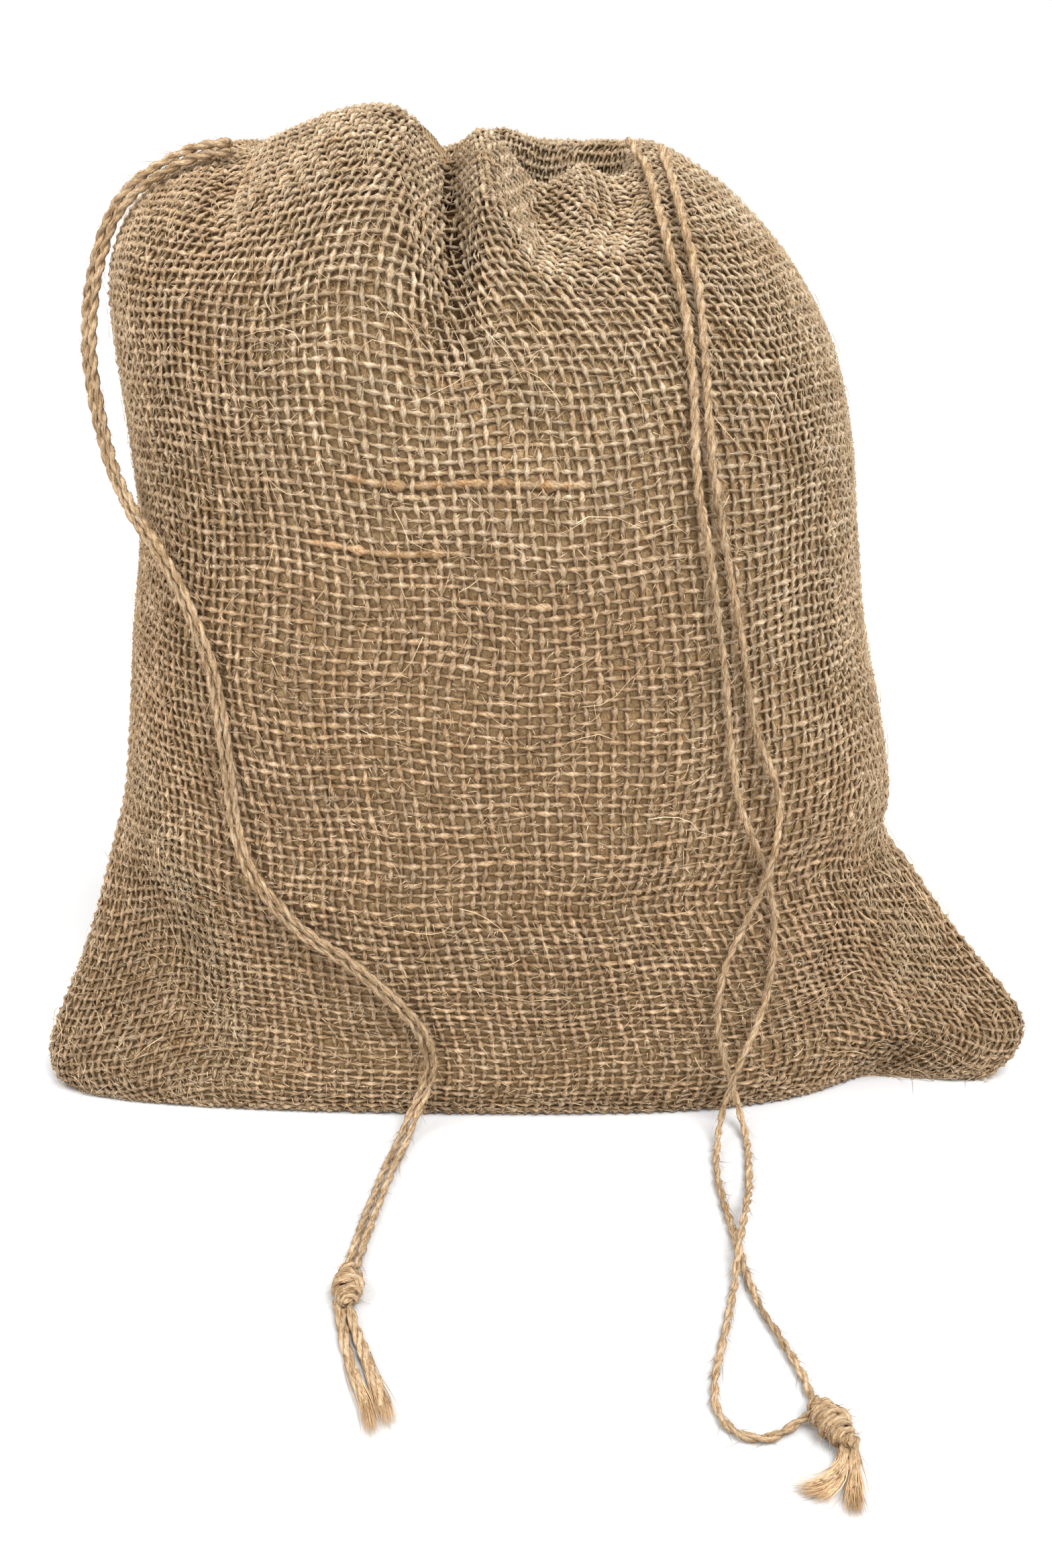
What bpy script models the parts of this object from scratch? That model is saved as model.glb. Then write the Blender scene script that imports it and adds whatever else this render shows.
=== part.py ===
"""A burlap drawstring sack that stands on its base, with two doubled jute strings.

Metres, +Z up, the front of the sack faces -Y. The origin is under the middle of the sack.
The sack is one sheet of cloth: a loft of closed sections, thickened inward, open at the mouth.
"""

import math

import bmesh
import bpy
import numpy as np
from mathutils import Matrix, Vector

MM = 0.001

# ---------------------------------------------------------------- driving sizes, in millimetres
CLOTH_THICKNESS = 1.8
COLUMNS_PER_HALF = 32
ROWS_PER_SECTION = 2
SAMPLES_PER_HALF = 360
SIDE_ROUNDNESS = 0.25
BASE_CENTRE = (2.812, -5.187)

STRING_DIAMETER = 2.1
STRING_POINT_SPACING = 6.0
PAIR_SPACING = 2.6

# The sack's sections from the floor up, over the crest of the mouth and down inside the hem.
# left, right: the two side folds. side: how far back the side folds lie.
# front, back: how far the section reaches before and behind the side folds.
# pinch: 1 is a round side, more draws the cloth out into a flat ear. edge: half of the ear's thickness.
SECTION_COLUMNS = "height left right side front back front_pinch back_pinch edge".split()
SECTIONS = (
    (0.0, -112.0, 113.0, -53.5, 14.5, 84.0, 0.8, 2.6, 2.0),
    (2.2, -117.5, 118.5, -52.0, 17.0, 90.0, 0.9, 2.6, 3.2),
    (8.0, -119.5, 124.0, -49.0, 21.0, 94.0, 1.0, 2.6, 3.8),
    (14.0, -118.0, 125.0, -46.5, 23.5, 95.0, 1.1, 2.5, 3.8),
    (21.0, -115.0, 120.5, -43.5, 26.0, 95.0, 1.2, 2.4, 3.8),
    (34.0, -110.0, 108.5, -35.0, 35.0, 92.0, 1.3, 2.1, 3.8),
    (47.0, -106.5, 98.5, -27.0, 44.0, 86.0, 1.3, 1.8, 4.0),
    (57.0, -103.8, 91.0, -23.0, 48.5, 82.0, 1.2, 1.5, 4.0),
    (67.0, -101.5, 92.0, -18.0, 53.0, 78.0, 1.1, 1.3, 4.0),
    (85.0, -100.0, 89.5, -10.0, 60.0, 71.0, 1.0, 1.1, 4.0),
    (105.0, -98.8, 85.5, -2.0, 67.0, 63.0, 1.0, 1.0, 4.0),
    (130.0, -95.3, 82.0, 0.0, 67.0, 60.0, 1.0, 1.0, 4.0),
    (152.0, -95.8, 79.0, 0.0, 64.0, 58.0, 1.0, 1.0, 4.0),
    (172.0, -97.3, 73.5, 0.0, 59.0, 54.0, 1.0, 1.0, 4.0),
    (187.0, -97.6, 65.5, 0.0, 52.0, 48.0, 1.0, 1.0, 4.0),
    (198.0, -94.5, 57.0, 0.0, 45.0, 42.0, 1.0, 1.0, 4.0),
    (207.0, -88.0, 47.5, 0.0, 37.0, 35.0, 1.0, 1.0, 4.0),
    (213.0, -79.0, 39.0, 0.0, 29.0, 28.0, 1.0, 1.0, 4.0),
    (217.0, -71.0, 31.5, 0.0, 22.0, 22.0, 1.0, 1.0, 4.0),
    (218.0, -66.5, 27.5, 0.0, 18.0, 18.5, 1.0, 1.0, 4.0),
    (216.5, -63.0, 24.0, 0.0, 14.5, 15.0, 1.0, 1.0, 4.0),
    (211.0, -61.0, 22.0, 0.0, 12.5, 13.0, 1.0, 1.0, 4.0),
    (203.0, -60.5, 21.5, 0.0, 12.0, 12.5, 1.0, 1.0, 4.0),
)
CREST_SECTION = 19
CREST_HEIGHT = 217.0

# The main folds and lumps. Each runs from a high point to a low one and swells the cloth
# out (or creases it in) and lifts it. A fold of the mouth stays full up to the crest.
FOLD_COLUMNS = "face high_x high_z low_x low_z width out up at_mouth".split()
FRONT, BACK = -1, 1
FOLDS = (
    # gathers of the drawn mouth
    (FRONT, -17.5, 216, -13.0, 170, 4.6, -17.0, -6.0, True),
    (FRONT, -8.5, 216, -1.0, 184, 6.5, 6.0, 3.0, True),
    (FRONT, 9.0, 212, 11.0, 191, 9.5, -4.0, -10.0, True),
    (FRONT, 21.0, 212, 21.0, 194, 7.5, -2.0, -8.0, True),
    (FRONT, -35.0, 210, -42.0, 150, 17.0, 6.0, 7.5, True),
    (FRONT, -27.0, 214, -26.0, 172, 6.5, 4.5, 1.5, True),
    (FRONT, -62.0, 216, -70.0, 185, 5.0, -3.5, -2.0, True),
    (BACK, -48.0, 216, -52.0, 180, 6.0, -7.0, -3.0, True),
    (BACK, -22.0, 216, -24.0, 186, 6.0, -6.0, -2.0, True),
    (BACK, -6.0, 216, -6.0, 198, 6.0, 2.0, 2.4, True),
    (BACK, 6.0, 216, 10.0, 182, 6.0, -7.0, 0.0, True),
    # a soft crease that runs on below the deep one
    (FRONT, -16.0, 186, 4.0, 150, 8.0, -4.5, 0.0, False),
    # creases where the ears leave the filled part
    (FRONT, -96.0, 62, -78.0, 2, 12.0, -6.0, 0.0, False),
    (FRONT, 88.0, 60, 74.0, 4, 11.0, -6.0, 0.0, False),
    (FRONT, 92.0, 14, 84.0, -14, 13.0, -5.0, 0.0, False),
    (FRONT, 92.0, 40, 88.0, -40, 31.0, -8.5, 0.0, False),
)

# The strings' routes, out of the hem, over the cloth and along the floor: x, y, z.
LEFT_ROUTE = (
    (-64.9, -15.0, 217.0), (-73.0, -13.0, 215.9), (-81.7, -11.0, 212.2), (-88.4, -10.0, 208.0),
    (-93.6, -9.5, 202.3), (-97.4, -9.7, 194.3), (-99.9, -10.0, 186.4), (-101.2, -10.5, 178.6),
    (-101.8, -11.0, 170.6), (-101.2, -12.0, 162.3), (-99.8, -14.0, 154.8), (-96.6, -20.0, 146.5),
    (-90.8, -28.6, 138.6), (-84.9, -35.7, 132.6), (-79.5, -41.3, 125.8), (-75.2, -46.8, 118.5),
    (-71.3, -51.3, 109.4), (-69.2, -54.3, 99.0), (-68.0, -57.0, 87.0), (-66.7, -59.5, 72.6),
    (-63.8, -62.2, 63.6), (-58.7, -64.9, 56.6), (-51.5, -67.2, 49.6), (-41.7, -69.2, 43.1),
    (-35.0, -70.3, 37.5), (-29.1, -70.8, 31.4), (-24.5, -71.1, 25.0), (-22.5, -71.5, 16.8),
    (-24.2, -72.3, 9.8), (-27.0, -75.5, 4.3), (-29.0, -81.5, 1.7), (-31.1, -89.9, 1.3),
    (-32.9, -100.3, 1.3), (-34.6, -110.8, 1.3), (-35.8, -119.8, 1.3), (-36.3, -126.0, 1.6),
)
RIGHT_ROUTE_ONE = (
    (23.5, -1.8, 217.9), (25.3, -8.0, 215.2), (26.9, -15.0, 212.6), (28.2, -25.0, 207.1),
    (29.5, -33.9, 201.3), (31.1, -39.6, 194.8), (33.1, -43.8, 188.0), (34.6, -48.4, 178.6),
    (35.5, -52.6, 168.0), (36.0, -56.3, 156.0), (37.0, -57.9, 147.8), (39.3, -58.6, 137.7),
    (41.4, -59.2, 125.1), (43.7, -59.8, 111.4), (45.0, -60.7, 101.0), (46.1, -61.8, 90.9),
    (48.6, -62.5, 79.0), (52.8, -61.9, 68.6), (56.0, -61.0, 60.4), (57.8, -61.5, 50.5),
    (57.8, -64.3, 39.4), (55.6, -67.4, 28.8), (52.1, -71.5, 21.5), (49.0, -73.9, 14.8),
    (47.0, -75.1, 8.6), (45.6, -78.4, 3.8), (44.4, -84.5, 1.8), (43.6, -92.1, 1.3),
    (43.8, -101.5, 1.3), (44.6, -109.9, 1.3), (45.3, -118.7, 1.3), (46.0, -127.2, 1.3),
    (47.5, -137.0, 1.3), (49.9, -145.0, 1.3), (52.0, -152.0, 1.3), (53.5, -158.3, 1.3),
    (54.0, -163.6, 1.6),
)
RIGHT_ROUTE_TWO = (
    (30.5, -6.8, 216.6), (31.9, -18.0, 211.4), (33.2, -27.0, 205.5), (34.5, -33.6, 199.6),
    (36.2, -39.2, 191.9), (37.2, -44.0, 184.4), (37.9, -49.5, 174.0), (38.6, -53.0, 164.4),
    (39.9, -55.5, 153.3), (41.7, -56.6, 143.6), (43.7, -57.1, 133.9), (45.9, -57.3, 124.4),
    (48.0, -57.4, 114.3), (49.8, -58.0, 103.6), (52.4, -58.5, 93.6), (56.0, -58.2, 85.8),
    (58.0, -59.0, 77.6), (57.2, -62.3, 69.6), (55.4, -64.5, 62.6), (51.8, -64.9, 52.9),
    (47.9, -66.3, 44.4), (45.3, -68.3, 35.0), (45.2, -69.6, 25.4), (47.0, -70.7, 17.0),
    (49.4, -71.4, 9.4), (51.0, -73.5, 4.0), (51.8, -79.0, 1.6), (51.4, -87.5, 1.3),
    (50.3, -97.0, 1.8), (48.8, -105.8, 3.6), (46.9, -114.0, 4.8), (45.1, -121.2, 4.4),
    (43.7, -127.8, 2.3), (42.2, -134.4, 1.3), (39.9, -143.3, 1.3), (37.4, -152.6, 1.3),
    (36.0, -158.8, 1.3), (35.7, -164.0, 1.3), (36.8, -168.4, 1.3), (39.3, -171.3, 1.3),
    (42.6, -172.3, 1.3), (46.0, -171.6, 1.3), (48.8, -169.7, 1.3), (50.9, -168.2, 1.6),
)
TAIL_ROUTES = {
    "left_tail_one": ((-38.0, -139.6, 1.6), (-36.4, -148.0, 1.3), (-34.0, -156.0, 1.3),
                      (-31.0, -163.5, 1.3), (-29.0, -171.5, 1.3)),
    "left_tail_two": ((-34.9, -139.7, 1.6), (-31.6, -147.8, 1.3), (-28.9, -155.8, 1.3),
                      (-26.0, -163.6, 1.3), (-24.2, -169.5, 1.3)),
    "right_tail_one": ((56.7, -176.5, 1.6), (54.0, -179.6, 1.3), (51.2, -182.4, 1.3),
                       (48.0, -185.0, 1.3)),
    "right_tail_two": ((59.6, -176.6, 1.6), (59.0, -181.4, 1.3), (57.8, -185.0, 1.3),
                       (57.0, -188.8, 1.3)),
}
# Knots: the middle, the direction of the string through them in plan, and their sizes.
KNOT_COLUMNS = "middle heading length width height wraps".split()
KNOTS = {
    "left_knot": ((-36.5, -132.8, 3.1), (0.0, -1.0), 13.0, 7.2, 5.8, 1.6),
    "right_knot": ((56.1, -170.3, 3.2), (0.42, -0.91), 12.4, 7.0, 6.0, 2.6),
}
KNOT_RIDGE = 0.09
KNOT_SEGMENTS = 20
KNOT_RINGS = 14

MATERIALS = {
    "burlap": ((0.45, 0.31, 0.18), 0.92),
    "jute_string": ((0.52, 0.35, 0.19), 0.88),
}


# ---------------------------------------------------------------- small helpers
def clear_scene():
    for item in list(bpy.data.objects):
        bpy.data.objects.remove(item, do_unlink=True)


def new_material(name, colour, roughness):
    material = bpy.data.materials.new(name)
    material.use_nodes = True
    shader = material.node_tree.nodes["Principled BSDF"]
    shader.inputs["Base Color"].default_value = (*colour, 1.0)
    shader.inputs["Roughness"].default_value = roughness
    shader.inputs["Metallic"].default_value = 0.0
    return material


def add_object(name, data, collection, material):
    item = bpy.data.objects.new(name, data)
    data.materials.append(material)
    collection.objects.link(item)
    return item


def eased(share):
    share = np.clip(share, 0.0, 1.0)
    return share * share * (3.0 - 2.0 * share)


def through_points(points, steps):
    """A smooth curve through points, with this many steps from each one to the next."""
    points = np.array(points, float)
    padded = np.vstack([2 * points[0] - points[1], points, 2 * points[-1] - points[-2]])
    found = []
    for before, start, end, after in zip(padded, padded[1:], padded[2:], padded[3:]):
        for t in np.arange(steps) / steps:
            slope = end - before
            bend = 2 * before - 5 * start + 4 * end - after
            turn = 3 * start - before - 3 * end + after
            found.append(0.5 * (2 * start + slope * t + bend * t**2 + turn * t**3))
    found.append(points[-1])
    return np.array(found)


def evenly(line, count, closed_end=True):
    """This many points at even steps along a line."""
    steps = np.linalg.norm(np.diff(line, axis=0), axis=1)
    walked = np.concatenate([[0.0], np.cumsum(steps)])
    wanted = np.linspace(0.0, walked[-1], count, endpoint=closed_end)
    return np.stack([np.interp(wanted, walked, line[:, axis]) for axis in range(3)], axis=1)


# ---------------------------------------------------------------- the sack's surface
def section_outline(row):
    """One closed section, back half first, and how far each point faces back (+1) or front (-1)."""
    section = dict(zip(SECTION_COLUMNS, row))
    angle = np.linspace(0.0, 2 * np.pi, 2 * SAMPLES_PER_HALF, endpoint=False)
    across = np.cos(angle)
    facing = np.sin(angle)
    behind = facing >= 0
    length = np.hypot(SIDE_ROUNDNESS * across, facing)
    edge = section["edge"]
    reach = np.where(behind, section["back"], section["front"]) - edge
    pinch = np.where(behind, section["back_pinch"], section["front_pinch"])
    middle = (section["left"] + section["right"]) / 2
    half_width = (section["right"] - section["left"]) / 2 - edge
    x = middle + half_width * across + edge * SIDE_ROUNDNESS * across / length
    y = section["side"] + np.sign(facing) * reach * np.abs(facing) ** pinch + edge * facing / length
    return np.stack([x, y, np.full_like(x, section["height"])], axis=1), facing


def with_folds(outline, facing, past_crest):
    """The outline moved by every fold. Past the crest, the hem follows the folds of the crest."""
    height = outline[:, 2]
    if past_crest:
        height = np.maximum(height, CREST_HEIGHT)
    moved = outline.copy()
    for row in FOLDS:
        fold = dict(zip(FOLD_COLUMNS, row))
        along = (height - fold["low_z"]) / (fold["high_z"] - fold["low_z"])
        held = np.clip(along, 0.0, 1.0)
        strength = eased(along) if fold["at_mouth"] else np.sin(np.pi * held)
        middle = fold["low_x"] + (fold["high_x"] - fold["low_x"]) * held
        here = eased((fold["face"] * facing + 0.05) / 0.3)
        swell = strength * here * np.exp(-(((outline[:, 0] - middle) / fold["width"]) ** 2))
        moved[:, 1] += fold["face"] * fold["out"] * swell
        moved[:, 2] += fold["up"] * swell
    return moved


def cloth_rows():
    """The outer face of the cloth as rows of points, from the floor to the hem's inner edge."""
    rows = []
    for index, row in enumerate(through_points(SECTIONS, ROWS_PER_SECTION)):
        outline, facing = section_outline(row)
        outline = with_folds(outline, facing, index > CREST_SECTION * ROWS_PER_SECTION)
        ring = np.vstack([outline, outline[:1]])
        back = evenly(ring[: SAMPLES_PER_HALF + 1], COLUMNS_PER_HALF, closed_end=False)
        front = evenly(ring[SAMPLES_PER_HALF:], COLUMNS_PER_HALF, closed_end=False)
        rows.append(np.vstack([back, front]))
    return np.array(rows)


def in_frame(points):
    """Millimetres in the sack's own layout, as metres about the middle of its base."""
    shift = np.array([*BASE_CENTRE, 0.0])
    return (np.array(points, float) - shift) * MM


def make_sack(collection, material):
    rows = in_frame(cloth_rows())
    count = rows.shape[1]
    shape = bmesh.new()
    rings = [[shape.verts.new(point) for point in row] for row in rows]
    for low, high in zip(rings, rings[1:]):
        for here in range(count):
            after = (here + 1) % count
            shape.faces.new((low[here], low[after], high[after], high[here]))
    shape.faces.new(list(reversed(rings[0])))
    mesh = bpy.data.meshes.new("sack")
    shape.to_mesh(mesh)
    shape.free()
    mesh.shade_smooth()
    sack = add_object("sack", mesh, collection, material)
    wall = sack.modifiers.new("cloth", "SOLIDIFY")
    wall.thickness = CLOTH_THICKNESS * MM
    wall.offset = -1.0
    wall.use_even_offset = False
    wall.use_rim = True
    return sack


# ---------------------------------------------------------------- strings, tails and knots
def make_string(name, line, collection, material):
    """A plain round string along a line in millimetres."""
    line = in_frame(line)
    length = np.linalg.norm(np.diff(line, axis=0), axis=1).sum()
    line = evenly(line, max(4, round(length / (STRING_POINT_SPACING * MM)) + 1))
    curve = bpy.data.curves.new(name, "CURVE")
    curve.dimensions = "3D"
    curve.bevel_depth = STRING_DIAMETER / 2 * MM
    curve.bevel_resolution = 2
    curve.use_fill_caps = True
    spline = curve.splines.new("POLY")
    spline.points.add(len(line) - 1)
    for point, place in zip(spline.points, line):
        point.co = (*place, 1.0)
    print(f"{name}: {length / MM:.0f} mm long")
    return add_object(name, curve, collection, material)


def side_by_side(line, offset):
    """The line moved sideways over what it lies on: the sack's front, then the floor."""
    along = np.gradient(line, axis=0)
    on_floor = eased((20.0 - line[:, 2:3]) / 16.0)
    outward = (1 - on_floor) * np.array([-0.35, -1.0, 0.1]) + on_floor * np.array([0.0, 0.0, 1.0])
    side = np.cross(along, outward)
    side /= np.linalg.norm(side, axis=1, keepdims=True)
    return line + offset * side


def make_knot(name, row, collection, material):
    """A pulled-tight knot: a rounded lump with the turns of the string raised on it."""
    knot = dict(zip(KNOT_COLUMNS, row))
    shape = bmesh.new()
    bmesh.ops.create_uvsphere(shape, u_segments=KNOT_SEGMENTS, v_segments=KNOT_RINGS, radius=1.0)
    heading = math.atan2(knot["heading"][1], knot["heading"][0])
    sizes = np.array([knot["length"], knot["width"], knot["height"]]) / 2
    for vertex in shape.verts:
        x, y, z = vertex.co
        # the sphere's pole axis becomes the string's direction
        along, across, up = z, x, y
        turn = math.atan2(up, across)
        fade = math.sqrt(max(0.0, 1.0 - along * along))
        ridge = 1.0 + KNOT_RIDGE * fade * math.sin(2 * turn + 2 * math.pi * knot["wraps"] * along)
        place = Vector((along, across * ridge, up * ridge))
        vertex.co = Vector([part * size for part, size in zip(place, sizes)])
    turned = Matrix.Rotation(heading, 3, "Z")
    bmesh.ops.rotate(shape, verts=shape.verts, cent=(0, 0, 0), matrix=turned)
    for vertex in shape.verts:
        vertex.co = Vector(in_frame(np.array(vertex.co) + np.array(knot["middle"])))
    bmesh.ops.recalc_face_normals(shape, faces=shape.faces)
    mesh = bpy.data.meshes.new(name)
    shape.to_mesh(mesh)
    shape.free()
    mesh.shade_smooth()
    return add_object(name, mesh, collection, material)


def make_strings(collection, material):
    left = through_points(LEFT_ROUTE, 8)
    make_string("left_string_one", side_by_side(left, PAIR_SPACING / 2), collection, material)
    make_string("left_string_two", side_by_side(left, -PAIR_SPACING / 2), collection, material)
    for name, route in (("right_string_one", RIGHT_ROUTE_ONE), ("right_string_two", RIGHT_ROUTE_TWO)):
        make_string(name, through_points(route, 8), collection, material)
    for name, route in TAIL_ROUTES.items():
        make_string(name, through_points(route, 8), collection, material)
    for name, row in KNOTS.items():
        make_knot(name, row, collection, material)


def main():
    clear_scene()
    collection = bpy.data.collections.new("burlap_sack")
    bpy.context.scene.collection.children.link(collection)
    materials = {name: new_material(name, *look) for name, look in MATERIALS.items()}
    make_sack(collection, materials["burlap"])
    make_strings(collection, materials["jute_string"])


main()
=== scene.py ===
# %% [markdown]
# # A burlap drawstring sack, woven yarn by yarn
# A coarse jute sack stands full on its flat bottom. Its mouth is gathered on two doubled strings,
# which fall over the front and end in knots with frayed tails. The cloth is so open that each yarn
# can be counted, so it is really woven here: straight yarns are laid out flat, as on a loom, and
# then every one is bent over and under its neighbours and draped on the sack's form.

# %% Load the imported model
import math

import bmesh
import bpy
import numpy as np
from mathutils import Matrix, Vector


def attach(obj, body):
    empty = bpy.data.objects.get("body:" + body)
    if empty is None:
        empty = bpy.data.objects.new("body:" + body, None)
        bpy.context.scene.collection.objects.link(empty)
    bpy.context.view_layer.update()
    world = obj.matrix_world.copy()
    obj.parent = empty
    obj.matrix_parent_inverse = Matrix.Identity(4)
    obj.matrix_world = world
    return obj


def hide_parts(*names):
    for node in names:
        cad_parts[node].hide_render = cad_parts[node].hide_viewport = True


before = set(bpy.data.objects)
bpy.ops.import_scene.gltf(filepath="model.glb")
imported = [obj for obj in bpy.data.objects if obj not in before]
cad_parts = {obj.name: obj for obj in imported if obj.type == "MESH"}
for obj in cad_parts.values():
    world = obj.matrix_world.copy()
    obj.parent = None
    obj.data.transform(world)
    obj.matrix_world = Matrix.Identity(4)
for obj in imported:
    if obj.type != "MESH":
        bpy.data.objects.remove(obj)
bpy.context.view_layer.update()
MM = 0.001

# %% [markdown]
# ## The camera
# It stands 0.4 m before the sack and looks down on it a little, so the sack narrows towards its
# foot and the strings run forward on the floor. The lens is a short portrait lens.

# %% Camera
CAMERA_PLACE = (-0.0028, -0.3948, 0.228)
CAMERA_TILT = math.radians(67.0)
FRAME_HEIGHT = 36.0
FOCAL_SHARE = 2430 / 2338  # the focal length as a share of the frame's height
bpy.ops.object.select_all(action="DESELECT")
bpy.ops.object.camera_add(location=CAMERA_PLACE, rotation=(CAMERA_TILT, 0, 0))
camera = bpy.context.object
camera.name = "camera"
camera.data.sensor_fit = "VERTICAL"
camera.data.sensor_height = FRAME_HEIGHT
camera.data.lens = FRAME_HEIGHT * FOCAL_SHARE
bpy.context.scene.camera = camera
print(f"the lens is {camera.data.lens:.1f} mm long")

# %% [markdown]
# ## The form that the cloth hangs in
# The sack is described as a tailor might measure it: one closed section at each height, then
# the folds. The sections run up the outside, over the crest of the mouth and down inside the hem.
# Curves are run through them, so that the cloth can be asked for at any place.

# %% The sections and the folds, in millimetres
def named(columns, rows):
    """The rows of a table, each with its values under the names of the columns."""
    return [dict(zip(columns.split(), row)) for row in rows]


BASE_CENTRE = (2.812, -5.187)
SIDE_ROUNDNESS = 0.25
SECTION_COLUMNS = "height left right side front back front_pinch back_pinch edge".split()
SECTIONS = (
    (0.0, -112.0, 113.0, -53.5, 14.5, 84.0, 0.8, 2.6, 2.0),
    (2.2, -117.5, 118.5, -52.0, 17.0, 90.0, 0.9, 2.6, 3.2),
    (8.0, -119.5, 124.0, -49.0, 21.0, 94.0, 1.0, 2.6, 3.8),
    (14.0, -118.0, 125.0, -46.5, 23.5, 95.0, 1.1, 2.5, 3.8),
    (21.0, -115.0, 120.5, -43.5, 26.0, 95.0, 1.2, 2.4, 3.8),
    (34.0, -110.0, 108.5, -35.0, 35.0, 92.0, 1.3, 2.1, 3.8),
    (47.0, -106.5, 98.5, -27.0, 44.0, 86.0, 1.3, 1.8, 4.0),
    (57.0, -103.8, 91.0, -23.0, 48.5, 82.0, 1.2, 1.5, 4.0),
    (67.0, -101.5, 92.0, -18.0, 53.0, 78.0, 1.1, 1.3, 4.0),
    (85.0, -100.0, 89.5, -10.0, 60.0, 71.0, 1.0, 1.1, 4.0),
    (105.0, -98.8, 85.5, -2.0, 67.0, 63.0, 1.0, 1.0, 4.0),
    (130.0, -95.3, 82.0, 0.0, 67.0, 60.0, 1.0, 1.0, 4.0),
    (152.0, -95.8, 79.0, 0.0, 64.0, 58.0, 1.0, 1.0, 4.0),
    (172.0, -97.3, 73.5, 0.0, 59.0, 54.0, 1.0, 1.0, 4.0),
    (187.0, -97.6, 65.5, 0.0, 52.0, 48.0, 1.0, 1.0, 4.0),
    (198.0, -94.5, 57.0, 0.0, 45.0, 42.0, 1.0, 1.0, 4.0),
    (207.0, -88.0, 47.5, 0.0, 37.0, 35.0, 1.0, 1.0, 4.0),
    (213.0, -79.0, 39.0, 0.0, 29.0, 28.0, 1.0, 1.0, 4.0),
    (217.0, -71.0, 31.5, 0.0, 22.0, 22.0, 1.0, 1.0, 4.0),
    (218.0, -66.5, 27.5, 0.0, 18.0, 18.5, 1.0, 1.0, 4.0),
    (216.5, -63.0, 24.0, 0.0, 14.5, 15.0, 1.0, 1.0, 4.0),
    (211.0, -61.0, 22.0, 0.0, 12.5, 13.0, 1.0, 1.0, 4.0),
    (203.0, -60.5, 21.5, 0.0, 12.0, 12.5, 1.0, 1.0, 4.0),
)
CREST_SECTION = 19
CREST_HEIGHT = 217.0
FRONT, BACK = -1, 1
FOLDS = named("face high_x high_z low_x low_z width out up at_mouth", (
    # gathers of the drawn mouth
    (FRONT, -17.5, 216, -13.0, 170, 4.6, -17.0, -6.0, True),
    (FRONT, -8.5, 216, -1.0, 184, 6.5, 6.0, 3.0, True),
    (FRONT, 3.5, 212, 7.0, 191, 7.4, -4.0, -8.5, True),
    (FRONT, 20.0, 212, 20.0, 194, 7.3, -2.0, -7.4, True),
    (FRONT, -35.0, 210, -42.0, 150, 17.0, 6.0, 7.5, True),
    (FRONT, -27.0, 214, -26.0, 172, 6.5, 4.5, 1.5, True),
    (FRONT, -62.0, 216, -70.0, 185, 5.0, -3.5, -2.0, True),
    (BACK, -48.0, 216, -52.0, 180, 6.0, -7.0, -3.0, True),
    (BACK, -22.0, 216, -24.0, 186, 6.0, -6.0, -2.0, True),
    (BACK, -6.0, 216, -6.0, 198, 6.0, 2.0, 2.4, True),
    (BACK, 6.0, 216, 10.0, 182, 6.0, -7.0, 0.0, True),
    # a soft crease that runs on below the deep one
    (FRONT, -16.0, 186, 4.0, 150, 8.0, -4.5, 0.0, False),
    # creases where the ears leave the filled part
    (FRONT, -96.0, 62, -78.0, 2, 12.0, -6.0, 0.0, False),
    (FRONT, 88.0, 60, 74.0, 4, 11.0, -6.0, 0.0, False),
    (FRONT, 92.0, 14, 84.0, -14, 13.0, -5.0, 0.0, False),
    (FRONT, 92.0, 40, 88.0, -40, 31.0, -8.5, 0.0, False),
))


# %% The helpers that draw the form
TURN = 2 * np.pi


def eased(share):
    share = np.clip(share, 0.0, 1.0)
    return share * share * (3.0 - 2.0 * share)


def through_points(points, steps):
    """A smooth curve through points, with this many steps from each one to the next."""
    points = np.array(points, float)
    padded = np.vstack([2 * points[0] - points[1], points, 2 * points[-1] - points[-2]])
    found = []
    for before, start, end, after in zip(padded, padded[1:], padded[2:], padded[3:]):
        for t in np.arange(steps) / steps:
            slope = end - before
            bend = 2 * before - 5 * start + 4 * end - after
            turn = 3 * start - before - 3 * end + after
            found.append(0.5 * (2 * start + slope * t + bend * t**2 + turn * t**3))
    found.append(points[-1])
    return np.array(found)


def evenly(line, count, closed_end=True):
    """This many points at even steps along a line."""
    steps = np.linalg.norm(np.diff(line, axis=0), axis=1)
    walked = np.concatenate([[0.0], np.cumsum(steps)])
    wanted = np.linspace(0.0, walked[-1], count, endpoint=closed_end)
    return np.stack([np.interp(wanted, walked, line[:, axis]) for axis in range(3)], axis=1)


def unit(vectors):
    return vectors / np.maximum(np.linalg.norm(vectors, axis=-1, keepdims=True), 1e-9)


def turned(first, second, angle):
    """A direction for each angle, from the first direction round to the second."""
    return first * np.cos(angle)[:, None] + second * np.sin(angle)[:, None]


# %% One section, and the folds on it
SAMPLES_PER_HALF = 720


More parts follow.
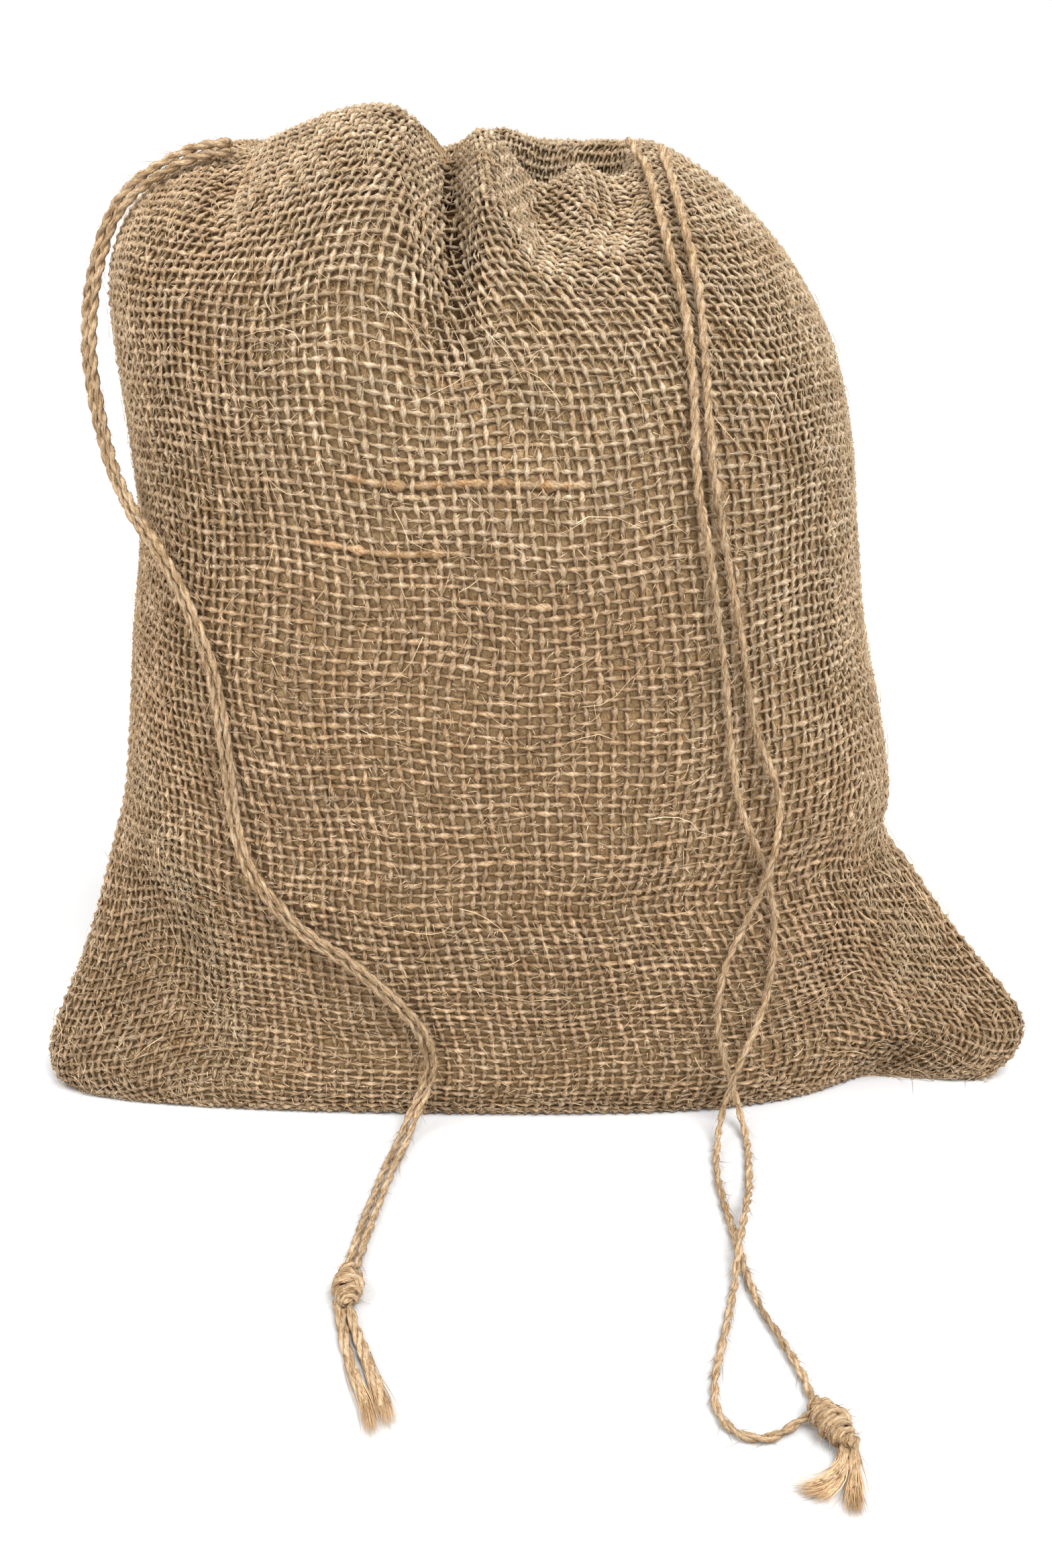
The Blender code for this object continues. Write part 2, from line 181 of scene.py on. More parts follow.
def section_outline(row):
    """One closed section, back half first, and how far each point faces back (+1) or front (-1)."""
    section = dict(zip(SECTION_COLUMNS, row))
    angle = np.linspace(0.0, TURN, 2 * SAMPLES_PER_HALF, endpoint=False)
    across, facing = np.cos(angle), np.sin(angle)
    behind = facing >= 0
    length = np.hypot(SIDE_ROUNDNESS * across, facing)
    edge = section["edge"]
    reach = np.where(behind, section["back"], section["front"]) - edge
    pinch = np.where(behind, section["back_pinch"], section["front_pinch"])
    middle = (section["left"] + section["right"]) / 2
    half_width = (section["right"] - section["left"]) / 2 - edge
    x = middle + half_width * across + edge * SIDE_ROUNDNESS * across / length
    y = section["side"] + np.sign(facing) * reach * np.abs(facing) ** pinch + edge * facing / length
    return np.stack([x, y, np.full_like(x, section["height"])], axis=1), facing


def fold_line(fold, height):
    """How far up a fold each height is, as a share, and where the fold's middle is there."""
    along = (height - fold["low_z"]) / (fold["high_z"] - fold["low_z"])
    return along, fold["low_x"] + (fold["high_x"] - fold["low_x"]) * np.clip(along, 0.0, 1.0)


def with_folds(outline, facing, past_crest):
    """The outline moved by every fold. Past the crest, the hem follows the folds of the crest."""
    height = np.maximum(outline[:, 2], CREST_HEIGHT) if past_crest else outline[:, 2]
    moved = outline.copy()
    for fold in FOLDS:
        along, middle = fold_line(fold, height)
        strength = eased(along) if fold["at_mouth"] else np.sin(np.pi * np.clip(along, 0.0, 1.0))
        here = eased((fold["face"] * facing + 0.05) / 0.3)
        swell = strength * here * np.exp(-(((outline[:, 0] - middle) / fold["width"]) ** 2))
        moved[:, 1] += fold["face"] * fold["out"] * swell
        moved[:, 2] += fold["up"] * swell
    return moved


# %% [markdown]
# ## A map from flat cloth to the standing sack
# A place on the flat cloth is counted in yarns: so many warps across, so many wefts up. The map
# turns such a count into a point on the form and the way that the cloth faces there. Near the mouth
# the cloth is gathered, so most of its warps crowd into the creases and towards the two strings.

# %% The form as a fine grid
STEPS = 10
COLUMNS_PER_HALF = 240
WARPS_PER_HALF = 98
AROUND = 2 * WARPS_PER_HALF
WARP_PITCH = 2.75
LOW_WEFT_PITCH = 2.15  # up to 45 mm, where the cloth's weight has packed the wefts
WEFT_PITCH = 2.5
CREASES = {  # where the cloth dives into a crease, as a share of each half's width
    FRONT: ((0.49, 0.030), (0.77, 0.022), (0.10, 0.022)),
    BACK: ((0.23, 0.024), (0.53, 0.024), (0.80, 0.024)),
}


def make_form():
    rows = []
    for index, row in enumerate(through_points(SECTIONS, STEPS)):
        outline, facing = section_outline(row)
        outline = with_folds(outline, facing, index > CREST_SECTION * STEPS)
        ring = np.vstack([outline, outline[:1]])
        back = evenly(ring[: SAMPLES_PER_HALF + 1], COLUMNS_PER_HALF, closed_end=False)
        front = evenly(ring[SAMPLES_PER_HALF:], COLUMNS_PER_HALF, closed_end=False)
        rows.append(np.vstack([back, front]))
    return np.array(rows) - np.array([*BASE_CENTRE, 0.0])


form = make_form()
along_up = np.gradient(form, axis=0)
along_across = np.roll(form, -1, axis=1) - np.roll(form, 1, axis=1)
facing_out = unit(np.cross(along_across, along_up))
closed_form, closed_facing = (
    np.concatenate([table, table[:, :1]], axis=1) for table in (form, facing_out)
)
girth = np.linalg.norm(np.diff(closed_form, axis=1), axis=2)
rises = np.linalg.norm(np.diff(form, axis=0), axis=2).mean(axis=1)
walked_up = np.concatenate([[0.0], np.cumsum(rises)])
LOW_WEFTS = 21
WEFTS = LOW_WEFTS + int((walked_up[-1] - LOW_WEFTS * LOW_WEFT_PITCH) / WEFT_PITCH)
CREST_WEFT = WEFTS - (walked_up[-1] - walked_up[CREST_SECTION * STEPS]) / WEFT_PITCH
print(f"the cloth runs {walked_up[-1]:.0f} mm up, with {WEFTS} wefts and {AROUND} warps")


def height_of(weft):
    """How far up the cloth a count of wefts reaches, in millimetres."""
    return np.minimum(weft, LOW_WEFTS) * LOW_WEFT_PITCH + np.maximum(weft - LOW_WEFTS, 0.0) * WEFT_PITCH


# %% How the warps crowd together at the mouth
SHARES = np.linspace(0.0, 1.0, 201)
GATHER_STARTS, GATHER_OVER = 0.80, 0.35  # a half's girth, as a share of the widest
SIDES_START, SIDES_OVER = 0.45, 0.42  # from the middle of a half, 0, to its sides, 1
DENSER_SIDES = 0.38  # each of these is the share of room that a warp gives up
DENSER_EDGE = 0.40
DENSER_CREASE = 0.80
LEAST_ROOM = 0.08


def make_gather():
    """For each row and half, the share of the section at which each share of the flat cloth lies."""
    tables, dives = [], []
    for half, face in enumerate((BACK, FRONT)):
        part = girth[:, half * COLUMNS_PER_HALF : (half + 1) * COLUMNS_PER_HALF].sum(axis=1)
        amount = eased((GATHER_STARTS - part / part.max()) / GATHER_OVER)[:, None]
        outer = np.abs(2 * SHARES - 1)
        side = eased((outer - SIDES_START) / SIDES_OVER)
        dive = sum(np.exp(-(((SHARES - place) / width) ** 2)) for place, width in CREASES[face])
        crowd = DENSER_EDGE * outer**2.5 + DENSER_CREASE * np.minimum(dive, 1.0)
        weight = np.maximum((1.0 - DENSER_SIDES * side) * (1.0 - amount * crowd), LEAST_ROOM)
        total = np.concatenate([np.zeros_like(amount), np.cumsum(weight[:, 1:], axis=1)], axis=1)
        tables.append(total / total[:, -1:])
        dives.append(amount * np.minimum(dive, 1.0))
    return np.stack(tables, axis=1), np.stack(dives, axis=1)


gather, dive_depth = make_gather()


def between(table, row, column):
    """A table read between its entries. Its columns are already closed into a ring where needed."""
    row = np.clip(row, 0, table.shape[0] - 1.001)
    low_row, low_column = np.floor(row).astype(int), np.floor(column).astype(int)
    row_share, column_share = row - low_row, column - low_column
    if table.ndim == 3:
        row_share, column_share = row_share[..., None], column_share[..., None]
    low, high = (
        table[line, low_column] * (1 - column_share) + table[line, low_column + 1] * column_share
        for line in (low_row, low_row + 1)
    )
    return low * (1 - row_share) + high * row_share


# %% From a count of yarns to a point on the form
CORNERS = ((WARPS_PER_HALF, 7.0), (0, 11.0), (AROUND, 11.0))  # the warp there, and wefts tucked under
CORNER_REACH, CORNER_RISE = 27.0, 45.0  # how many warps and wefts from a corner they droop
TUCK_WAY = np.array([-0.35, -1.0, 0.0])  # tucked cloth runs in under the sack,
TUCK_END = np.array([0.0, -44.0, 0.0])  # towards a line this far before the middle
TUCK_MOST = 0.8  # of the way there
# Waves in the weave: how far, by how much for each weft, how often round the sack, and the start
WAVES_ACROSS = ((0.30, 0.23, 3, 0.0), (0.22, 0.11, -7, 1.0))
WAVES_UP = ((0.32, 0.09, 5, 0.0), (0.20, -0.17, 13, 2.0))


def pulled(warp, weft):
    """The weave is never square: slow waves that shift a place in it by part of a yarn, and at
    both lower corners the wefts droop, because that cloth is tucked under the sack."""
    warp = np.mod(warp, AROUND)
    round_it = TURN * warp / AROUND
    for corner, tucked in CORNERS:
        near = eased(1.0 - np.abs(warp - corner) / CORNER_REACH)
        weft = weft - tucked * near * np.clip(1.0 - weft / CORNER_RISE, 0.0, 1.0)
    across, up = (
        sum(far * np.sin(climb * weft + times * round_it + start) for far, climb, times, start in waves)
        for waves in (WAVES_ACROSS, WAVES_UP)
    )
    inside = eased((weft + 4.0) / 6.0) * eased((WEFTS - weft) / 6.0)
    return warp + across, weft + up * inside


def on_cloth(warp, weft, square=False):
    """The point, the outward direction and the crowding at a count of warps across and wefts up."""
    if not square:
        warp, weft = pulled(warp, weft)
    row = np.interp(height_of(weft), walked_up, np.arange(len(walked_up)))
    warp = np.mod(warp, AROUND)
    half = np.minimum(warp // WARPS_PER_HALF, 1).astype(int)
    share = warp / WARPS_PER_HALF - half
    last = len(SHARES) - 1
    place = np.clip(share * last, 0, last - 0.001)
    moved, sunk = (
        np.where(half == 0, between(table[:, 0], row, place), between(table[:, 1], row, place))
        for table in (gather, dive_depth)
    )
    column = np.clip((half + moved) * COLUMNS_PER_HALF, 0, 2 * COLUMNS_PER_HALF - 0.001)
    point = between(closed_form, row, column)
    facing = unit(between(closed_facing, row, column))
    inward = point * TUCK_WAY + TUCK_END
    room = np.linalg.norm(inward, axis=1) * TUCK_MOST
    tucked = np.minimum(np.maximum(-weft, 0.0) * LOW_WEFT_PITCH, room)
    return point + unit(inward) * tucked[:, None], facing, sunk


# %% How the cloth is worn and dyed, and where light and shade are painted on it
# Painted light raises red, green and blue by these shares where it is strongest, so the lit cloth is paler.
PAINTED_LIGHT_TINT = np.array([0.14, 0.25, 0.36])
# Painted shade takes these shares off red, green and blue where a yarn lies underneath, and half of them
# between.
DIVE_SHADE = np.array([0.26, 0.38, 0.52])
RUBBED_WIDTH = 6.0
RUBBED = (  # across and up, in millimetres: folds beside the corners, felted by handling
    ((-97, 74), (-88, 55), (-80, 41), (-76, 25), (-74, 12)),
    ((83, 69), (86, 49), (93, 32)),
)


def rubbed(places):
    """How much a place lies on a rubbed fold of the front, from 0 to 1."""
    share = np.zeros(len(places))
    for fold in RUBBED:
        for x, z, _ in through_points([(x, z, 0.0) for x, z in fold], 4):
            away = np.hypot(places[:, 0] - x, places[:, 2] - z)
            share = np.maximum(share, np.exp(-((away / RUBBED_WIDTH) ** 2)))
    return share * (places[:, 1] < 0)


def painted_light_and_shade(places):
    """Painted light and shade: the cloth is paler towards the top, less so at the far left, and on the
    right above its lower part, where the light falls; it is darker at the two lower corners, the left one
    most, and at the foot, where shade falls.
    """
    x, z = places[:, 0], places[:, 2]
    # Painted light: paler towards the top and on the right.
    pale = eased((z - 115.0) / 55.0) * (0.35 + 0.65 * eased((x + 75.0) / 35.0))
    pale = np.maximum(pale, 0.9 * eased((x - 20.0) / 30.0) * eased((z - 60.0) / 50.0))
    # Painted shade: darker at the two lower corners and at the foot.
    corner = eased((np.abs(x) - 66.0) / 30.0) * eased((66.0 - z) / 40.0) * np.where(x < 0, 0.26, 0.10)
    foot_shade = 0.03 * eased((160.0 - z) / 70.0) + 0.14 * eased((9.0 - z) / 9.0)
    shade = (1.0 - corner) * (1.0 - foot_shade)
    return shade[:, None] * (1.0 + pale[:, None] * PAINTED_LIGHT_TINT)


def painted_dive_shade(over):
    """Painted shade: a yarn is darker and browner where it dives under its neighbours. Its colour for +1 on
    top, 0 between and -1 underneath.
    """
    depth = (1.0 - over[:, None]) / 2
    return 1.0 - depth * DIVE_SHADE


# %% [markdown]
# ## Helpers for pieces and finishes
# Every new piece goes through the same few steps, so each step is written once.

# %% Helpers for pieces
FIBRE_FLOOR = 0.05  # the least height of a fibre or the ground cloth over the floor


def deselect():
    bpy.ops.object.select_all(action="DESELECT")


def apply_modifier(piece, kind, **settings):
    """Adds a modifier with these settings and applies it at once."""
    modifier = piece.modifiers.new(kind, kind)
    for key, value in settings.items():
        setattr(modifier, key, value)
    deselect()
    piece.select_set(True)
    bpy.context.view_layer.objects.active = piece
    bpy.ops.object.modifier_apply(modifier=modifier.name)


def repeat(piece, count, step, **settings):
    """Copies the piece with an Array modifier, each copy one step on, in millimetres."""
    apply_modifier(
        piece, "ARRAY", count=count, use_relative_offset=False, use_constant_offset=True,
        constant_offset_displace=[side * MM for side in step], **settings,
    )


def new_piece():
    """The primitive that was just added, with its turn applied and its maps removed."""
    piece = bpy.context.object
    bpy.ops.object.transform_apply(location=True, rotation=True, scale=True)
    for layer in list(piece.data.uv_layers):
        piece.data.uv_layers.remove(layer)
    return piece


def read(items, field, size=1, kind=np.float32):
    """One field of all items, which has this many numbers for each."""
    values = np.empty(size * len(items), kind)
    items.foreach_get(field, values)
    return values


def write(items, field, values):
    items.foreach_set(field, values.astype(np.float32).ravel())


def places_of(piece):
    """Where the piece's vertices are, in millimetres."""
    return read(piece.data.vertices, "co", 3).reshape(-1, 3).astype(float) / MM


def set_places(piece, places, lowest):
    """Moves the vertices, none of them lower than this over the floor. Gives the places back."""
    places = places.reshape(-1, 3)
    places[:, 2] = np.maximum(places[:, 2], lowest)
    write(piece.data.vertices, "co", places * MM)
    piece.data.update()
    return places


def corners_of(piece):
    """Which vertex is at each corner of each face."""
    return read(piece.data.loops, "vertex_index", kind=np.int32)


def add_map(piece, name, across, up):
    """A UV map, from a number across and a number up for each corner."""
    layer = piece.data.uv_layers.new(name=name)
    write(layer.data, "uv", np.stack([across, up], axis=1))
    return layer


def store(piece, name, values):
    """Stores one number for each vertex, for the finish to read."""
    layer = piece.data.attributes.get(name) or piece.data.attributes.new(name, "FLOAT", "POINT")
    write(layer.data, "value", values)


def paint(piece, colours):
    """Stores one colour for each vertex, for the finish to read."""
    layer = piece.data.attributes.new("tint", "FLOAT_COLOR", "POINT")
    write(layer.data, "color", np.concatenate([colours, np.ones((len(colours), 1))], axis=1))


def uneven(middle, spread, noise, low, high):
    """A tone for each yarn or fibre, or for each ring of one, held within limits."""
    return np.clip(middle + spread * noise, low, high)[:, None]


def close_shell(piece, merge=0.00001, caps=0):
    """Merges doubled vertices, closes the open ends and turns the faces outwards."""
    shape = bmesh.new()
    shape.from_mesh(piece.data)
    if merge:
        bmesh.ops.remove_doubles(shape, verts=shape.verts, dist=merge)
    if caps:
        rims = [edge for edge in shape.edges if edge.is_boundary]
        bmesh.ops.holes_fill(shape, edges=rims, sides=caps)
    bmesh.ops.recalc_face_normals(shape, faces=shape.faces)
    shape.to_mesh(piece.data)
    shape.free()


def finish_piece(piece, name, material):
    piece.name = name
    piece.data.name = name
    piece.data.materials.clear()
    piece.data.materials.append(material)
    piece.data.shade_smooth()
    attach(piece, "root")
    piece.select_set(False)
    return piece


# %% [markdown]
# ## Finishes
# Dry jute is matt, with fine streaks that follow the fibres' twist. The streaks are drawn on each
# yarn's own map: one strip for each yarn, as long as the yarn. A vertex colour gives every yarn its
# own tone, because no two handfuls of jute are dyed alike, and it also carries painted light and
# shade: paler where the light falls, darker at the foot, the lower corners and where yarns dive.

# %% Helpers that add nodes and wire them
def add_node(tree, kind, links=(), **settings):
    node = tree.nodes.new("ShaderNode" + kind)
    for key, value in settings.items():
        setattr(node, key, value)
    for name, source in dict(links).items():
        if isinstance(source, bpy.types.NodeSocket):
            tree.links.new(source, node.inputs[name])
        else:
            node.inputs[name].default_value = source
    return node


def maths(tree, operation, *values):
    return add_node(tree, "Math", enumerate(values), operation=operation).outputs[0]


def blend(tree, share, low, high, kind="MIX"):
    return add_node(tree, "Mix", {0: share, 6: low, 7: high}, data_type="RGBA", blend_type=kind).outputs[2]


def noise(tree, place, scale, detail, roughness=0.5):
    links = {"Vector": place, "Scale": scale, "Detail": detail, "Roughness": roughness}
    return add_node(tree, "TexNoise", links).outputs[0]


def spread_out(tree, value, low, high, to_low=0.0, to_high=1.0):
    links = {"Value": value, "From Min": low, "From Max": high, "To Min": to_low, "To Max": to_high}
    return add_node(tree, "MapRange", links).outputs[0]


def stored(tree, name):
    return add_node(tree, "Attribute", attribute_name=name, attribute_type="GEOMETRY").outputs


def new_finish(name, map_name):
    """A material, its node tree, the two directions of a map, and places on the object itself."""
    material = bpy.data.materials.new(name)
    material.use_nodes = True
    tree = material.node_tree
    strip = add_node(tree, "UVMap", uv_map=map_name)
    split = add_node(tree, "SeparateXYZ", {"Vector": strip.outputs[0]})
    where = add_node(tree, "TexCoord").outputs["Object"]
    return material, tree, split.outputs[0], split.outputs[1], where


def complete(tree, colour, height, depth, constants):
    """Gives the shader its colour, its relief and its constants."""
    shader = tree.nodes["Principled BSDF"]
    bump = add_node(tree, "Bump", {"Height": height, "Strength": 1.0, "Distance": depth})
    tree.links.new(colour, shader.inputs["Base Color"])
    tree.links.new(bump.outputs[0], shader.inputs["Normal"])
    for name, value in constants.items():
        shader.inputs[name].default_value = value


# %% Jute yarn: twisted, streaked and hairy
JUTE = {"Roughness": 0.85, "Specular IOR Level": 0.08, "Sheen Weight": 0.05, "Sheen Roughness": 0.5}
STRONGEST_STREAK = 1.42


def jute_finish(name, lines, lean, length, dark, light, depth):
    """lines: fibre lines round the yarn. lean: turns per millimetre, which sets the twist's slant.
    length: how long a line runs, in millimetres. dark and light: the shades that lines vary between."""
    material, tree, round_yarn, along_yarn, where = new_finish(name, "yarn_map")
    wound = maths(tree, "MULTIPLY", maths(tree, "MULTIPLY_ADD", along_yarn, lean, round_yarn), lines)
    along = maths(tree, "DIVIDE", along_yarn, length)
    place = add_node(tree, "CombineXYZ", {"X": wound, "Y": along, "Z": 0.0}).outputs[0]
    fibres = noise(tree, place, 1.0, 4.0, 0.80)
    streak = spread_out(tree, fibres, 0.37, 0.61, dark, light)
    patch = spread_out(tree, noise(tree, where, 160.0, 5.0, 0.62), 0.32, 0.68, 0.74, 1.22)
    strength = maths(tree, "MINIMUM", maths(tree, "MULTIPLY", streak, patch), STRONGEST_STREAK)
    red, blue = maths(tree, "POWER", strength, 0.78), maths(tree, "POWER", strength, 1.35)
    warmed = add_node(tree, "CombineColor", {"Red": red, "Green": strength, "Blue": blue}).outputs[0]
    colour = blend(tree, 1.0, stored(tree, "tint")[0], warmed, "MULTIPLY")
    complete(tree, colour, fibres, depth, JUTE)
    return material


yarn_finish = jute_finish("burlap yarn", 8.0, 0.12, 1.3, 0.36, 1.50, 0.0007)
string_finish = jute_finish("jute string", 7.0, 0.13, 3.5, 0.36, 1.55, 0.0008)
fibre_finish = jute_finish("stray fibre", 0.0, 0.0, 3.0, 0.85, 1.15, 0.0001)

BURLAP = np.array([0.535, 0.373, 0.226])
FELT = np.array([0.47, 0.36, 0.225])
RUST = np.array([0.42, 0.225, 0.090])
STRING = np.array([0.50, 0.345, 0.200])
STRAY = np.array([0.64, 0.475, 0.30])

# %% [markdown]
# ## The ground cloth
# Behind the modelled yarns lies one thin continuous sheet in the sack's form, hem and flat bottom
# included. It closes the view through the gaps, carries the cloth's shape, and shows the weave as
# a finish on the bottom and inside the mouth, where no yarns are modelled. In the gaps it carries
# painted shade: dark where the sack is hollow behind the cloth, darker at the flanks, and darkest
# in the deep crease of the mouth.

# %% A woven finish for the ground cloth
# Gap colours, each from one patch to another: HOLLOW_SHADE is painted shade, the dark inside seen through
# the gaps where nothing fills the sack; PACKED is the filling seen through them; DRAWN_YARN is the yarn
# pattern on the bottom and inside the mouth.
HOLLOW_SHADE = (0.065, 0.031, 0.011, 1), (0.17, 0.098, 0.042, 1)
PACKED = (0.185, 0.104, 0.043, 1), (0.35, 0.220, 0.108, 1)
DRAWN_YARN = (0.36, 0.25, 0.14, 1), (0.50, 0.36, 0.21, 1)
# HAIR: loose hair lines in the gaps. CREASE_SHADE: painted shade in the deep crease of the mouth.
HAIR, CREASE_SHADE = (0.43, 0.305, 0.165, 1), (0.060, 0.030, 0.012, 1)
HAIR_TURNS = (0.5, 1.7, 2.6)
HAIR_SCALE = (420.0, 1500.0, 4200.0)
GROUND = {"Roughness": 0.92, "Specular IOR Level": 0.02}
GROUND_RELIEF = 0.0007
BOTTOM_SHIFT = 1000.0  # how far the bottom's map lies below the walls' map


def woven_finish():
    material, tree, across, up, where = new_finish("burlap ground", "cloth")
    ridges = []
    for count in (across, up):
        off = maths(tree, "ABSOLUTE", maths(tree, "SUBTRACT", maths(tree, "FRACT", count), 0.5))
        ridges.append(spread_out(tree, off, 0.34, 0.20))
    counted = maths(tree, "ADD", maths(tree, "FLOOR", across), maths(tree, "FLOOR", up))
    over = maths(tree, "MULTIPLY", maths(tree, "FRACT", maths(tree, "MULTIPLY", counted, 0.5)), 2.0)
    warp = maths(tree, "MULTIPLY", ridges[0], maths(tree, "MULTIPLY_ADD", over, 0.5, 0.5))
    weft = maths(tree, "MULTIPLY", ridges[1], maths(tree, "MULTIPLY_ADD", over, -0.5, 1.0))
    below, within = maths(tree, "LESS_THAN", up, -0.5), maths(tree, "GREATER_THAN", up, CREST_WEFT + 1.0)
    height = maths(tree, "MULTIPLY", maths(tree, "MAXIMUM", warp, weft), maths(tree, "ADD", below, within))
    patches = noise(tree, where, 260.0, 6.0, 0.7)
    patch = spread_out(tree, patches, 0.3, 0.7)
    # Painted shade in the gaps: the dark hollow colour where filled is low, the packed colour where it is
    # high.
    filled = stored(tree, "filled")["Fac"]
    gap = blend(tree, filled, blend(tree, patch, *HOLLOW_SHADE), blend(tree, patch, *PACKED))
    crease_shade = stored(tree, "crease_shade")["Fac"]
    level = maths(tree, "SUBTRACT", 1.0, crease_shade)
    for turn in HAIR_TURNS:
        spun = add_node(
            tree, "VectorRotate", {"Vector": where, "Angle": turn}, rotation_type="Y_AXIS"
        ).outputs[0]
        drawn = add_node(tree, "VectorMath", {0: spun, 1: HAIR_SCALE}, operation="MULTIPLY").outputs[0]
        hair = spread_out(tree, noise(tree, drawn, 1.0, 1.0), 0.55, 0.64, 0.0, 0.75)
        gap = blend(tree, maths(tree, "MULTIPLY", hair, level), gap, HAIR)
    # Painted shade in the deep crease of the mouth.
    gap = blend(tree, crease_shade, gap, CREASE_SHADE)
    colour = blend(tree, height, gap, blend(tree, patch, *DRAWN_YARN))
    relief = maths(tree, "MULTIPLY_ADD", patches, 0.25, height)
    complete(tree, colour, relief, GROUND_RELIEF, GROUND)
    return material


ground_finish = woven_finish()

# %% The ground cloth, from a primitive grid
GROUND_COLUMNS = 144
GROUND_ROWS = 84
GROUND_SINK = 1.45
CREASE_SINK = 2.2
DEEP_CREASE_WIDTH = 4.2
GROUND_THICKNESS = 0.5
BOTTOM_PITCHES = (0.0029, 0.0028)


def deep_crease(places):
    """How much a place lies in the deepest fold of the mouth, where the cloth is in full shade."""
    along, middle = fold_line(FOLDS[0], places[:, 2])
    near = np.exp(-(((places[:, 0] - (middle - BASE_CENTRE[0])) / DEEP_CREASE_WIDTH) ** 2))
    return near * eased(2.5 * along) * (places[:, 1] < 0)


def fill_bottom(ground):
    """Sews the walls' two edges together and closes the rim on the floor."""
    shape = bmesh.new()
    shape.from_mesh(ground.data)
    bmesh.ops.remove_doubles(shape, verts=shape.verts, dist=0.00001)
    cloth = shape.loops.layers.uv["cloth"]
    rim = [edge for edge in shape.edges if edge.is_boundary and max(v.co.z for v in edge.verts) < 0.002]
    for face in bmesh.ops.holes_fill(shape, edges=rim, sides=0)["faces"]:
        for loop in face.loops:
            x, y, _ = loop.vert.co
            loop[cloth].uv = (x / BOTTOM_PITCHES[0], y / BOTTOM_PITCHES[1] - BOTTOM_SHIFT)
    bmesh.ops.recalc_face_normals(shape, faces=shape.faces)
    shape.to_mesh(ground.data)
    shape.free()


def make_ground():
    """A flat grid, bent round into the sack's form, with its bottom filled in."""
    deselect()
    bpy.ops.mesh.primitive_grid_add(x_subdivisions=GROUND_COLUMNS, y_subdivisions=GROUND_ROWS, size=1)
    ground = new_piece()
    flat = places_of(ground) * MM + 0.5
    warp, weft = flat[:, 0] * AROUND, flat[:, 1] * WEFTS
    point, facing, sunk = on_cloth(np.minimum(warp, AROUND - 1e-6), weft, square=True)
    dive = np.maximum(eased(sunk / 0.35), deep_crease(point)) * eased((CREST_WEFT - 1.0 - weft) / 4.0)
    store(ground, "filled", eased((weft - CREST_WEFT) / 3.0))
    # Painted shade in the deep crease of the mouth, half as strong below 188 mm.
    store(ground, "crease_shade", dive * (0.5 + 0.5 * eased((point[:, 2] - 188.0) / 20.0)))
    draped = point - facing * (GROUND_SINK + CREASE_SINK * dive)[:, None]
    first, last = np.flatnonzero(flat[:, 0] < 1e-5), np.flatnonzero(flat[:, 0] > 1 - 1e-5)
    draped[last[np.argsort(flat[last, 1])]] = draped[first[np.argsort(flat[first, 1])]]
    set_places(ground, draped, FIBRE_FLOOR)
    corner = corners_of(ground)
    add_map(ground, "cloth", warp[corner], weft[corner])
    fill_bottom(ground)
    apply_modifier(ground, "SOLIDIFY", thickness=GROUND_THICKNESS * MM, offset=-1.0)
    x, _, z = places_of(ground).T
    # How filled and lit the gaps look, from 0 to 1: low at the ears and towards the mouth, where the sack
    # is hollow behind the cloth, and lower at the flanks, which is painted shade. Past the crest the hem
    # keeps most of it.
    ear = eased((np.abs(x) - 58.0) / 26.0) * eased((70.0 - z) / 30.0)
    top = eased((z - 150.0) / 50.0)
    turned = eased((np.abs(x - 2.0) - 45.0) / 40.0)
    inside = read(ground.data.attributes["filled"].data, "value")
    outside = (1 - ear) * (1 - 0.7 * top) * (1 - 0.5 * turned)
    store(ground, "filled", np.maximum(outside, 0.8 * inside))
    finish_piece(ground, "ground_cloth", ground_finish)
    for face in ground.data.polygons:
        face.use_smooth = len(face.vertices) < 5
    return ground


ground_cloth = make_ground()
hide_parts("sack")

# %% [markdown]
# ## The yarns
# All warps are one row of straight tubes and all wefts another, made from one short tube with two
# Array modifiers, like a loom that is being threaded. Then each ring of each tube is moved: over or
# under at every crossing, a little thinner or thicker, a little to one side, and onto the form.

# %% The loom
YARN_SIDES = 3
YARN_ANGLES = np.radians((90.0, 195.0, 345.0))  # flattened, with one edge outwards
YARN_RADIUS = 0.66  # on the loom
YARN_HEIGHT = 0.50
YARN_FLOOR = 0.15
WAVE = 0.42
DRIFT = 0.085
CLOTH_MIDDLE = -0.75
FLOAT_BULK, DIVE_BULK = 1.12, 0.72  # a yarn's thickness on top or underneath, and between
SQUEEZED, BY_ROOM = 0.44, 0.66  # a warp's thickness without room, and what full room adds
THINNEST, THICKEST = 0.5, 1.08
PACKED_WEFT = 0.88
SLUB_BULK, SLUB_LIFT = 0.55, 0.22
SUNK_DEPTH = 0.9  # how far the yarns sink in a crease
JOINING_RINGS = 21  # over which a weft's end turns into its start
FELTED = 0.6
YARN_COLUMNS = "pitch other_pitch crossings reach width uneven tone own_tone most".split()
YARNS = {
    "warps": (WARP_PITCH, WEFT_PITCH, WEFTS, 5, 0.66, 0.16, 1.05, 0.05, 1.45),
    "wefts": (WEFT_PITCH, WARP_PITCH, AROUND, 6, 0.63, 0.18, 1.03, 0.04, 1.40),
}


def straight_tubes(count, rings, apart, step, sides, radius):
    """Straight tubes side by side along Y, each made of short segments."""
    deselect()
    bpy.ops.mesh.primitive_cylinder_add(
        vertices=sides, radius=radius * MM, depth=step * MM, end_fill_type="NOTHING",
        location=(0, 0, 0), rotation=(math.pi / 2, 0, 0),
    )
    piece = new_piece()
    repeat(piece, rings - 1, (0, step, 0), use_merge_vertices=True, merge_threshold=0.00002)
    repeat(piece, count, (apart, 0, 0))
    return piece


